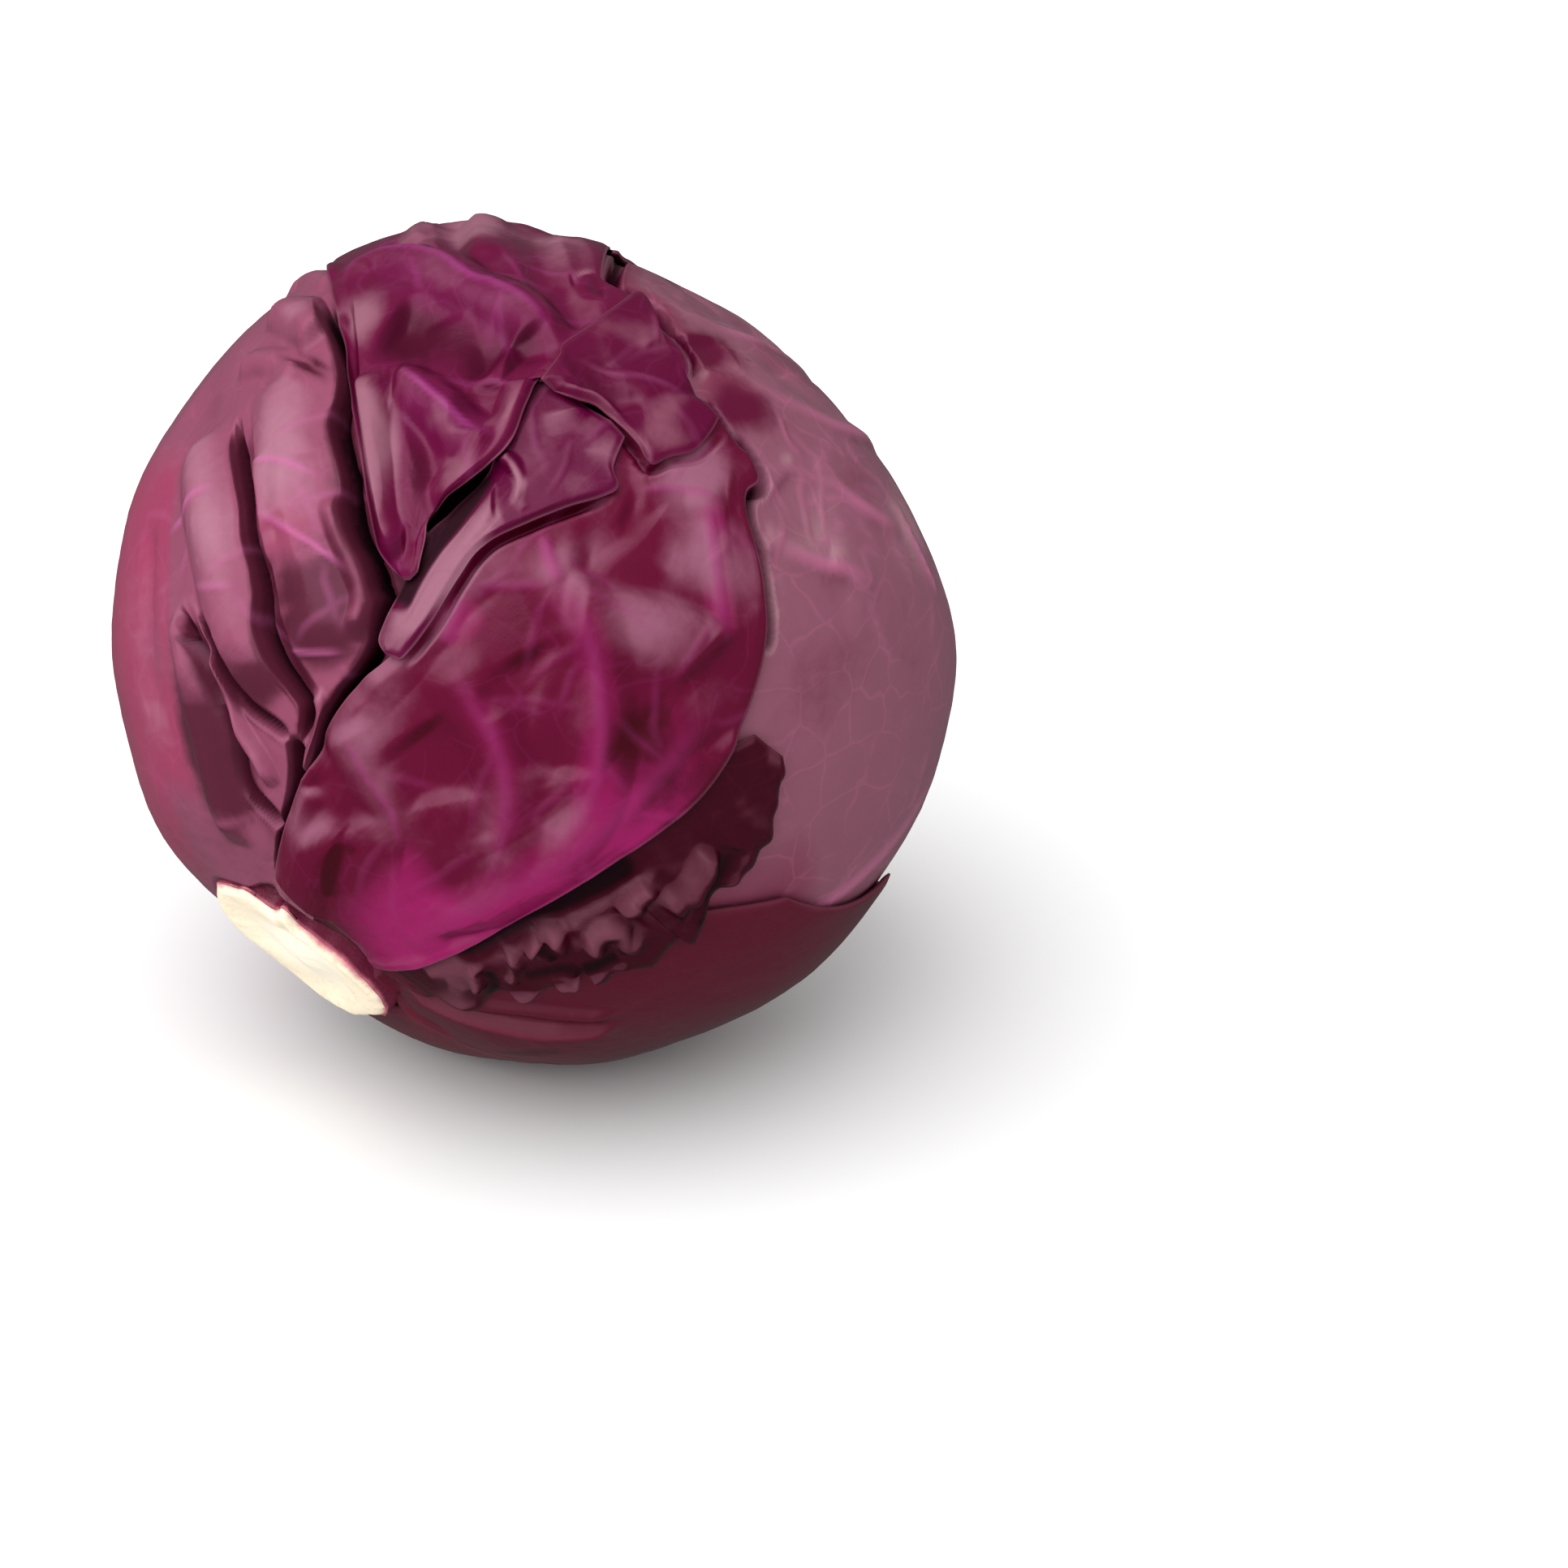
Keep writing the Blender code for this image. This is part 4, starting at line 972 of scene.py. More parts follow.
def tip_flap():
    """The small pointed leaf end, with a raised lip, where the crown, front and right leaves meet."""
    lip = seen("668,478 690,482 710,492 732,500 757,521 780,546 798,570")
    return Leaf(
        name="tip_flap", radius=0.0803, foot_radius=0.0803, columns=(84,), rows=96, ripple=0.0004,
        rails=[
            seen("666,478 688,448 693,430 725,408 757,386 780,371 795,376 802,403 812,428 828,458"),
            seen("684,488 710,498 732,506 757,526 784,552 799,577 821,569 850,562 870,540 880,522"),
        ],
        folds=[
            fold(lip, 0.0022, 0.0018, 0.003),
            fold(shifted(lip, 0.0036), -0.0016, 0.003, 0.0026),
            fold(seen("700,470 770,500 830,520"), 0.0014, 0.005),
            fold(seen("720,440 760,465 830,478"), -0.0014, 0.005),
            fold(seen("740,404 770,425 800,445"), 0.0014, 0.005),
            fold(seen("800,390 806,425 800,452"), 0.0012, 0.004),
        ],
        veins=[
            Line(seen("700,446 750,468 800,478 860,505"), 0.0002, 0.001, 0.001, 2.0, 0.4),
            Line(seen("796,385 805,420 800,452"), 0.0001, 0.0008, 0.0008, 2.0, 0.4),
        ],
        washes=[
            # Pale washes on the raised parts and along the lip are painted highlight, dark ones in the
            # hollows painted shade
            tone_and_light_wash(seen("770,392 798,425 830,455"), 0.25, 0.008),
            tone_and_light_wash(seen("790,500 815,520 845,535"), 0.59, 0.01),
            tone_and_light_wash(seen("798,556 830,552 856,540"), 0.39, 0.004),
            tone_and_light_wash(seen("730,402 756,420 780,440"), 0.16, 0.007),
            tone_and_light_wash(seen("700,440 740,455 780,480"), -0.6, 0.008),
            tone_and_light_wash(seen("760,498 775,520 785,545"), -0.39, 0.004),
            tone_and_light_wash(shifted(lip, -0.0003), 0.59, 0.0012),
        ])


def inner_leaf():
    """A small flap with a rolled edge, and the strip that runs down from it."""
    curl = seen("612,560 630,574 641,596 641,622 654,640")
    pit = seen("492,770 520,712 548,668 580,622 600,590 612,566")
    return Leaf(
        name="inner_leaf", radius=0.08, foot_radius=0.08, columns=(34, 56), rows=150, ripple=0.0004,
        rails=[
            seen("480,806 468,788 474,762 490,730 510,690 530,652 560,618 590,590 612,555 632,515 656,476"
                " 680,455"),
            seen("486,808 478,788 492,766 530,718 562,674 592,634 614,592 630,560 648,524 672,492 700,474"),
            seen("496,812 506,806 536,766 568,714 600,672 652,646 700,627 757,608 754,580 768,543"),
        ],
        folds=[
            # A deep pit, which the finish paints near black as shade
            Line(pit, -0.006, 0.01, 0.002, 1.3),
            fold(seen("484,796 514,758 549,710 584,666 614,622 628,592"), 0.0022, 0.003, 0.0035),
            fold(curl, 0.002, 0.0022),
            Line(shifted(curl, -0.0026), -0.003, 0.002, 0.0026, 1.6),
            Line(seen("650,642 714,621 755,607 753,580 765,548"), 0.001, 0.0014, 0.0014, 1.6),
            fold(seen("660,555 690,585 705,620"), -0.0012, 0.005),
            fold(seen("700,500 715,540 740,560"), 0.0012, 0.005),
        ],
        veins=[
            Line(seen("665,625 690,590 700,560 700,530"), 0.0001, 0.0009, 0.0009, 2.0, 0.4),
        ],
        washes=[
            # The pale washes along the ridge, the rolled edge and the raised parts are painted highlight,
            # the dark one painted shade
            tone_and_light_wash(seen("466,812 510,760 549,710 584,666 630,600"), 1.7, 0.005),
            tone_and_light_wash(seen("730,535 745,560 730,590"), 0.48, 0.006),
            tone_and_light_wash(seen("645,555 680,540 715,545"), 0.36, 0.006),
            tone_and_light_wash(seen("680,590 700,600 690,620"), 0.24, 0.005),
            tone_and_light_wash(seen("640,500 690,502 740,515"), 0.2, 0.006),
            tone_and_light_wash(seen("665,575 695,555 730,548"), -0.48, 0.007),
            tone_and_light_wash(curl, 0.72, 0.0014),
        ])


def front_leaf():
    """The large leaf in the middle, with a midrib low down and veins that arch up from it."""
    arch = seen("668,660 688,723 710,758 728,808 737,870 733,950 706,1013 655,1066")
    second = seen("545,800 581,861 612,915 625,977 612,1044 590,1080")
    third = seen("420,888 440,925 456,955 487,1000 500,1050")
    midrib = seen("468,1182 532,1142 599,1104 700,1050 800,960 900,830")
    strip_edge = seen("496,814 508,808 538,768 570,716 602,674 654,648 702,629 756,611")
    flap_edge = seen("757,528 784,555 799,579 822,571 856,565 880,542 892,526")
    branch = seen("692,727 745,734 799,749 858,772 893,805")
    outer_vein = seen("862,590 866,620 880,709 893,807")
    return Leaf(
        name="front_leaf", radius=0.0806, foot_radius=0.0775, columns=(180,), rows=196, ripple=0.0003,
        relief=1.0,
        rails=[
            path(seen("372,1095 345,1075 346,1030 362,980 392,930 400,900 420,868"),
                seen("447,838 488,802 528,738 570,672 612,625 660,575 720,530"),
                seen("800,500 860,505 893,530")),
            path(seen("455,1184 465,1190 509,1189 560,1172 640,1134 700,1100 770,1052"),
                seen("860,978 915,890 942,800 940,725 922,645 919,608 934,592 922,562")),
        ],
        folds=[
            fold(midrib, 0.0014, 0.008, 0.006),
            Line(arch, 0.0018, 0.007, 0.007, 1.3),
            Line(second, 0.0016, 0.007, 0.007, 1.3),
            Line(third, 0.0014, 0.006, 0.006, 1.3),
            Line(branch, 0.003, 0.004, 0.013, 1.3),
            Line(shifted(branch, 0.005), -0.0013, 0.009, 0.006, 1.2),
            Line(seen("775,604 850,604 908,618"), 0.0009, 0.008, 0.006, 1.2),
            Line(seen("760,630 820,660 880,700"), -0.0008, 0.008, 0.008, 1.2),
            fold(outer_vein, 0.001, 0.004),
            Line(seen("452,1054 434,1040 418,1040 409,1060 408,1108"), -0.0034, 0.005, 0.0016, 1.6),
            fold(seen("386,960 372,1020 384,1085"), 0.0024, 0.005, 0.004),
            fold(seen("440,852 490,800 540,730 600,680"), 0.0014, 0.006, 0.007),
            fold(seen("585,861 652,863 732,875"), -0.0008, 0.004),
            fold(seen("500,900 540,960 560,1040"), -0.0014, 0.009),
            # Grooves under the edges of the strip and the flap, darkened in the finish as painted shade
            # under those edges
            Line(shifted(strip_edge, -0.0005), -0.0026, 0.002, 0.0011, 1.8),
            Line(shifted(flap_edge, -0.0005), -0.0026, 0.002, 0.0011, 1.8),
            fold(seen("640,800 680,880 680,960"), -0.0012, 0.01),
        ],
        veins=[
            vein(midrib, 0.00012, 0.003),
            Line(arch, 0.0002, 0.0018, 0.0018, 1.6, 0.4),
            Line(second, 0.00017, 0.0018, 0.0018, 1.6, 0.4),
            vein(third, 0.00018, 0.0014),
            Line(outer_vein, 0.00026, 0.0016, 0.0016, 1.6, 0.4),
            vein(seen("545,800 560,770 572,727"), 0.0002, 0.0018),
            vein(seen("572,727 620,722 686,724"), 0.00016, 0.0014),
            vein(seen("668,655 676,690 690,725"), 0.00035, 0.0018),
            vein(seen("585,861 652,863 732,875"), 0.0001, 0.0012),
            vein(seen("780,606 830,606 890,620"), 0.00022, 0.0012),
        ],
        washes=[
            # Partly the leaf's own pale and dark patches, partly painted highlight on the crests and painted
            # shade in the hollows
            tone_and_light_wash(seen("420,850 470,900 520,930"), 0.55, 0.014),
            tone_and_light_wash(seen("440,940 475,980 520,960"), 0.3, 0.012),
            tone_and_light_wash(seen("365,960 385,1010 400,1060"), 0.24, 0.006),
            tone_and_light_wash(seen("430,860 490,806 540,765 600,700 680,650"), 0.66, 0.007),
            tone_and_light_wash(seen("690,735 780,765 880,830"), 0.78, 0.009),
            tone_and_light_wash(seen("780,668 836,690 890,738"), 0.75, 0.009),
            tone_and_light_wash(seen("760,570 830,590 915,630"), 0.2, 0.01),
            tone_and_light_wash(seen("895,620 908,700 920,790"), 0.55, 0.01),
            tone_and_light_wash(seen("800,550 860,585 915,600"), 0.7, 0.012),
            tone_and_light_wash(seen("680,655 706,680 740,712"), 0.5, 0.01),
            tone_and_light_wash(seen("740,636 800,655 862,695"), -0.12, 0.009),
            tone_and_light_wash(seen("680,695 750,716 830,742 890,780"), -0.33, 0.005),
            tone_and_light_wash(seen("600,760 640,776 690,790"), -0.3, 0.01),
            tone_and_light_wash(seen("760,850 800,910 850,920"), -0.7, 0.018),
            tone_and_light_wash(seen("760,1010 820,960 890,880"), -0.3, 0.012),
            tone_and_light_wash(seen("640,930 660,950 690,970"), 0.21, 0.01),
            tone_and_light_wash(seen("520,1000 560,1030 590,1060"), 0.09, 0.01),
            tone_and_light_wash(seen("372,1010 380,1060 395,1100"), -0.39, 0.009),
        ],
        flushes=[
            Line(seen("420,1120 500,1175 600,1140 740,1060 880,930"), 1.0, 0.012, 0.012, 1.0, 0.2),
            Line(seen("440,1070 500,1110 580,1090"), 0.9, 0.016, 0.016, 1.0, 0.4),
            Line(arch, 0.36, 0.0045, 0.0045, 1.0, 0.3),
            Line(second, 0.3, 0.004, 0.004, 1.0, 0.3),
            Line(seen("535,800 562,767 600,735"), 0.6, 0.005, 0.005, 1.2, 0.4),
            Line(seen("862,590 880,709 893,807"), 0.7, 0.0035, 0.0035, 1.0, 0.3),
            Line(seen("690,1010 760,960 880,830"), 0.25, 0.01, 0.01, 1.0, 0.4),
        ])


def right_leaf():
    """The waxy leaf on the right. A jagged crack and a seam run beside its left margin."""
    crack = seen("757,304 744,330 746,347 768,358 790,366 806,380 812,402 834,416 851,440 843,466")
    seam = seen("868,500 890,530 905,548 924,560 940,590 921,604 922,645 940,700 946,805")
    upper = seen("901,480 946,480 988,501 1045,529 1084,552 1117,585")
    top = seen("832,372 859,384 922,414 970,435 1010,455")
    middle = seen("1000,558 1045,609 1090,639 1114,648")
    lower = seen("940,657 988,684 1045,702 1087,723")
    outer = seen("1100,610 1126,660 1144,700 1160,740")
    return Leaf(
        name="right_leaf", radius=0.0792, foot_radius=0.0755, columns=(106, 54), rows=230, net=0.14,
        ripple=0.0006,
        rails=[
            path(around("-22,24 -14,50"), seen("690,760 780,660 820,590 800,520"),
                seen("770,470 745,425 733,385 724,350 714,318"), around("58,140 72,152 96,160 130,164")),
            path(around("-48,22 -46,50 -44,80"), seen("1010,560 960,470 900,410"),
                around("-2,166 165,176 165,166")),
            around("-84,18 -96,40 -104,65 -108,90 -112,115 -122,140 -150,157 -175,160"),
        ],
        folds=[
            # Grooves beside the crack and the seam, deep enough that the finish paints them near black as
            # shade
            Line(shifted(crack, 0.0016), -0.006, 0.0024, 0.001, 1.8, 0.18),
            Line(shifted(seam, 0.0007), -0.006, 0.002, 0.001, 1.8, 0.05),
            fold(upper, 0.0006, 0.005, 0.003),
            fold(top, 0.0005, 0.004),
            fold(middle, 0.0005, 0.004, 0.003),
            fold(lower, 0.0006, 0.005, 0.003),
            fold(outer, 0.0005, 0.004),
            fold(seen("960,590 1000,640 1040,680"), -0.0008, 0.008),
            fold(seen("940,430 1000,480 1060,520"), -0.0007, 0.007),
            fold(seen("940,690 1000,730 1060,750"), -0.0008, 0.007),
            fold(seen("860,410 876,432 886,455"), -0.0012, 0.006),
            fold(seen("820,340 900,385 960,425"), -0.001, 0.006),
            Line(around("-95,20 -101,50 -108,80 -112,110"), -0.0035, 0.014, 0.014),
            fold(seen("880,385 960,440 1010,480 1060,500"), 0.0006, 0.006),
        ],
        veins=[
            Line(upper, 0.00028, 0.0019, 0.0019, 1.3, 0.5),
            Line(top, 0.00028, 0.0019, 0.0019, 1.3, 0.5),
            Line(middle, 0.00028, 0.0019, 0.0019, 1.3, 0.5),
            Line(lower, 0.00028, 0.0019, 0.0019, 1.3, 0.5),
            Line(outer, 0.00045, 0.0014, 0.0014, 1.6, 0.3),
            vein(seen("988,620 1030,612 1060,620"), 0.00012, 0.0009),
            vein(seen("900,540 930,560 960,600 985,640"), 0.00012, 0.0009),
            vein(seen("960,500 975,540 1000,570"), 0.00012, 0.0009),
            vein(seen("1040,530 1060,570 1100,600"), 0.00012, 0.0009),
            vein(seen("1010,690 1030,660 1045,612"), 0.00012, 0.0009),
            Line(around("-50,30 -60,60 -70,90 -80,115"), 0.0003, 0.003, 0.003, 1.4, 0.4),
            Line(around("-56,45 -75,62 -92,84"), 0.0002, 0.0026, 0.0026, 1.4, 0.4),
        ],
        washes=[
            # Pale washes over the upper part and down the lit right side are partly painted highlight, the
            # dark ones beside the crack and the seam painted shadow from the edges that lie over them
            tone_and_light_wash(seen("800,320 930,400 1000,450 1100,550"), 0.42, 0.008),
            tone_and_light_wash(seen("1110,580 1122,660 1108,760"), 0.48, 0.01),
            tone_and_light_wash(seen("1140,620 1162,700 1175,780"), 0.42, 0.012),
            tone_and_light_wash(seen("852,395 876,425 892,460"), -1.0, 0.009),
            tone_and_light_wash(seen("958,548 975,563 990,576"), 0.54, 0.003),
            tone_and_light_wash(seen("985,610 1020,660 1050,690"), 0.27, 0.01),
            tone_and_light_wash(seen("930,640 950,700 990,750"), 0.21, 0.01),
            tone_and_light_wash(seen("900,490 960,530 1020,540"), -0.18, 0.01),
            tone_and_light_wash(seen("1010,560 1060,590 1100,630"), -0.18, 0.008),
            tone_and_light_wash(seen("940,780 1000,840 1040,940"), -0.24, 0.018),
            tone_and_light_wash(seen("870,460 905,490 940,545"), -0.8, 0.01),
            tone_and_light_wash(shifted(crack, 0.003), -0.5, 0.002),
            tone_and_light_wash(shifted(seam, 0.0022), -0.35, 0.0018),
        ],
        flushes=[
            Line(shifted(crack, 0.003), 1.0, 0.005, 0.003, 1.2, 0.2),
            Line(seen("850,440 890,470 930,530"), 1.0, 0.008, 0.008, 1.0, 0.4),
            Line(seen("880,400 960,440 1040,500"), 0.5, 0.008, 0.008, 1.2, 0.4),
            Line(around("-40,26 -50,50 -64,80"), 1.0, 0.022, 0.03, 1.0),
        ])


def under_leaf():
    """The dark leaf round the bottom, with the flat spot that the head rests on."""
    return Leaf(
        name="under_leaf", radius=0.08, foot_radius=0.0775, columns=(40, 40, 64), rows=120, flat=True,
        ripple=0.0007,
        rails=[
            around("-20,16 -30,33 -38,48 -46,62 -56,74"),
            around("-56,15 -62,40 -70,65 -80,91"),
            around("-92,16 -98,38 -106,60 -112,82 -116,104"),
            around("-172,16 -178,38 178,62 178,86 -178,102"),
        ],
        folds=[
            Line(seen("490,1222 540,1246 600,1262 670,1270 770,1262"), 0.0018, 0.003, 0.004, 1.6),
            Line(seen("560,1240 650,1245 760,1250"), 0.001, 0.003, 0.003, 1.6),
            Line(seen("470,1235 500,1262 560,1290"), -0.0012, 0.003, 0.003, 1.6),
            Line(seen("452,1206 462,1215 480,1238"), 0.0016, 0.0016, 0.0016, 1.6),
        ],
        veins=[
            Line(seen("490,1222 540,1246 600,1262 670,1270 770,1262"), 0.0003, 0.0012, 0.0012),
            fold(around("-92,20 -98,40 -105,60 -112,84"), 0.0003, 0.0028),
            fold(around("-92,30 -120,50 -140,75"), 0.0002, 0.0026),
            fold(around("-96,45 -122,70 -138,92"), 0.0002, 0.0026),
        ],
        washes=[
            # A painted highlight along the ridge and painted shade below it
            Line(seen("520,1238 600,1255 700,1262"), 0.45, 0.003, 0.003),
            Line(seen("520,1285 600,1300 700,1290"), -0.45, 0.004, 0.004),
        ],
        flushes=[
            Line(seen("450,1205 480,1250 540,1290 640,1300"), 1.0, 0.005, 0.005),
            Line(around("-100,18 -120,40 -130,70"), 1.0, 0.03, 0.03, 1.0),
        ])


def ruffled_leaf():
    """The crumpled leaf under the front leaf's lower edge. Its free margin curls up in small lobes."""
    grey_flap = seen("526,1200 550,1194 575,1206 592,1214")
    return Leaf(
        name="ruffled_leaf", radius=0.0798, foot_radius=0.0775, columns=(90,), rows=260, ruffle=0.0026,
        ruffle_waves=8.3, ripple=0.0012, curl=0.0,
        rails=[
            path(around("26,15 14,30 0,45 -12,58"), seen("850,940 930,905")),
            seen("512,1208 522,1230 545,1226 560,1238 590,1238 604,1222 622,1214 652,1222 680,1206"
                " 700,1209 722,1190 742,1202 762,1184 800,1182 830,1148 850,1152 880,1100 920,1070 955,985"
                " 960,930"),
        ],
        folds=[
            fold(grey_flap, 0.0026, 0.0036, 0.005),
            fold(seen("580,1180 592,1200 594,1222"), 0.0024, 0.0024),
            fold(seen("600,1186 610,1205 606,1224"), -0.004, 0.0022),
            fold(seen("606,1176 622,1166 636,1182 632,1206"), 0.0026, 0.002),
            fold(seen("652,1170 665,1146 682,1148 690,1170"), 0.003, 0.0026),
            fold(seen("664,1172 674,1164 684,1176"), -0.0044, 0.0022),
            fold(seen("640,1196 690,1184 722,1190"), -0.0036, 0.003),
            fold(seen("726,1166 736,1146 759,1140 774,1154 792,1140"), 0.003, 0.0028),
            fold(seen("712,1186 740,1176 762,1165"), -0.004, 0.003),
            fold(seen("762,1122 782,1104 800,1086"), 0.003, 0.0028),
            fold(seen("600,1218 650,1219 697,1207 760,1186"), 0.0016, 0.0018),
            Line(seen("540,1176 640,1140 720,1100 800,1050"), -0.005, 0.006, 0.005, 1.3),
            fold(seen("820,1120 850,1090 880,1040"), 0.003, 0.004),
            fold(seen("850,1140 880,1090 900,1040"), -0.003, 0.004),
        ],
        washes=[
            tone_and_light_wash(grey_flap, 0.95, 0.006),
            tone_and_light_wash(seen("535,1208 560,1222 590,1232"), 0.6, 0.006),
            # The narrow pale washes on the ruffles' ridges are painted highlight
            tone_and_light_wash(seen("652,1170 665,1146 682,1148 690,1170"), 0.35, 0.002),
            tone_and_light_wash(seen("726,1166 736,1146 759,1140 774,1154 792,1140"), 0.35, 0.002),
            tone_and_light_wash(seen("600,1218 650,1219 697,1207 760,1186"), 0.45, 0.0016),
            tone_and_light_wash(seen("760,1124 785,1104 820,1080"), 0.35, 0.004),
        ],
        flushes=[
            Line(seen("470,1200 500,1215 530,1240"), 1.0, 0.004, 0.004),
        ])


def back_leaf():
    """The leaf behind, with a midrib and two veins that branch from it."""
    return Leaf(
        name="back_leaf", radius=0.0762, foot_radius=0.0745, columns=(110,), rows=96, net=0.16,
        ripple=0.0012,
        rails=[
            around("150,17 140,45 128,75 118,105 112,135 120,158"),
            around("-155,17 -150,45 -142,75 -135,105 -130,135 -150,160"),
        ],
        folds=[
            Line(around("-178,20 179,60 176,100 170,145"), 0.0018, 0.005, 0.005, 1.6),
            Line(around("-178,40 -165,75 -150,105"), 0.0014, 0.004, 0.004, 1.6),
            Line(around("180,60 163,90 145,115"), 0.0014, 0.004, 0.004, 1.6),
        ],
        veins=[
            Line(around("-178,20 179,60 176,100 170,145"), 0.0006, 0.0026, 0.0026, 1.6),
            Line(around("-178,40 -165,75 -150,105"), 0.0004, 0.0022, 0.0022, 1.6),
            Line(around("180,60 163,90 145,115"), 0.0004, 0.0022, 0.0022, 1.6),
        ],
        flushes=[
            Line(around("-178,18 -179,50 178,80"), 1.0, 0.03, 0.03, 1.0),
        ])


def rear_leaf():
    """The leaf that closes the back of the top."""
    return Leaf(
        name="rear_leaf", radius=0.0755, foot_radius=0.0755, columns=(72,), rows=72, net=0.16, ripple=0.001,
        rails=[
            around("-62,105 -45,125 -20,140 30,140 66,128 88,108"),
            around("-125,95 -150,100 178,102 150,98 122,88"),
        ],
        folds=[
            Line(around("-95,115 -130,140 -170,150 130,150"), 0.0014, 0.006, 0.006, 1.6),
        ],
        veins=[
            Line(around("-95,115 -130,140 -170,150 130,150"), 0.0004, 0.0024, 0.0024, 1.6),
        ])


def side_veins(points, count, seed):
    """Small veins that leave a rib alternately to its sides and bend towards its far end."""
    draw = np.random.default_rng(seed)
    rib = smooth_curve(points, RIB_POINTS)
    used = RIB_POINTS - 2 * RIB_ENDS
    made = []
    for index in range(count):
        at = int(RIB_ENDS + (index + 0.5 + 0.5 * (draw.random() - 0.5)) * used / count)
        along = unit(rib[min(at + 1, RIB_POINTS - 1)] - rib[at - 1])
        aside = np.cross(rib[at], along) * (-1.0 if index % 2 else 1.0)
        length = SIDE_VEIN_REACH * (0.7 + 0.6 * draw.random()) / HEAD_RADIUS
        spread = 0.9 + 0.3 * draw.random()
        steps = np.linspace(0.0, 1.0, SIDE_VEIN_POINTS)[:, None] * length
        lean = along * (steps * (1.1 - spread * 0.5) + steps ** 2 / length * 0.35)
        wobble = 0.03 * length * draw.standard_normal((SIDE_VEIN_POINTS, 1)) * along
        made.append(unit(rib[at] + aside * steps * spread * 0.8 + lean + wobble))
    return made


def add_small_veins(leaf, seed):
    """Finer veins on the sides of the leaf's own veins."""
    finer = []
    for index, rib in enumerate(list(leaf.veins)):
        span = np.linalg.norm(np.diff(smooth_curve(rib.points, RIB_POINTS // 3), axis=0), axis=1).sum()
        count = max(2, int(span * HEAD_RADIUS / SIDE_VEIN_STRETCH))
        for points in side_veins(rib.points, count, seed + index):
            finer.append(Line(points, SIDE_VEIN_RISE, SIDE_VEIN_WIDTH, SIDE_VEIN_WIDTH, 2.0, 0.4))
    leaf.veins.extend(finer)


def lay(makers):
    """Make and lay each of the given leaves, in this order."""
    seed = bpy.context.scene.cabbage_sizes.seed
    for maker in makers:
        leaf = maker()
        add_small_veins(leaf, seed)
        add_leaf(leaf)


class CABBAGE_OT_heart(bpy.types.Operator):
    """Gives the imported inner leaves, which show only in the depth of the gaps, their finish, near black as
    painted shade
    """

    bl_idname = "cabbage.heart"
    bl_label = "Heart"

    def execute(self, context):
        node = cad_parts["heart"]
        node.data.materials.clear()
        node.data.materials.append(leaf_material("heart"))
        return {"FINISHED"}


class CABBAGE_OT_back_leaves(bpy.types.Operator):
    """Lays the two leaves that close the back of the head"""

    bl_idname = "cabbage.back_leaves"
    bl_label = "Back leaves"

    def execute(self, context):
        lay((rear_leaf, back_leaf))
        return {"FINISHED"}


class CABBAGE_OT_side_leaves(bpy.types.Operator):
    """Lays the right leaf, the under leaf, the ruffled leaf and the pleated left leaf"""

    bl_idname = "cabbage.side_leaves"
    bl_label = "Side leaves"

    def execute(self, context):
        lay((right_leaf, under_leaf, ruffled_leaf, left_leaf))
        return {"FINISHED"}


class CABBAGE_OT_front_leaves(bpy.types.Operator):
    """Lays the large front leaf, and the small inner leaf over its margin"""

    bl_idname = "cabbage.front_leaves"
    bl_label = "Front leaves"

    def execute(self, context):
        lay((front_leaf, inner_leaf))
        return {"FINISHED"}


class CABBAGE_OT_crown_leaves(bpy.types.Operator):
    """Lays the crown leaf over the top, and the tip flap on it"""

    bl_idname = "cabbage.crown_leaves"
    bl_label = "Crown leaves"

    def execute(self, context):
        lay((crown_leaf, tip_flap))
        return {"FINISHED"}


class CABBAGE_OT_stump(bpy.types.Operator):
    """Makes the cut stem with its lobed rim"""

    bl_idname = "cabbage.stump"
    bl_label = "Cut stem"

    def execute(self, context):
        add_stump()
        return {"FINISHED"}


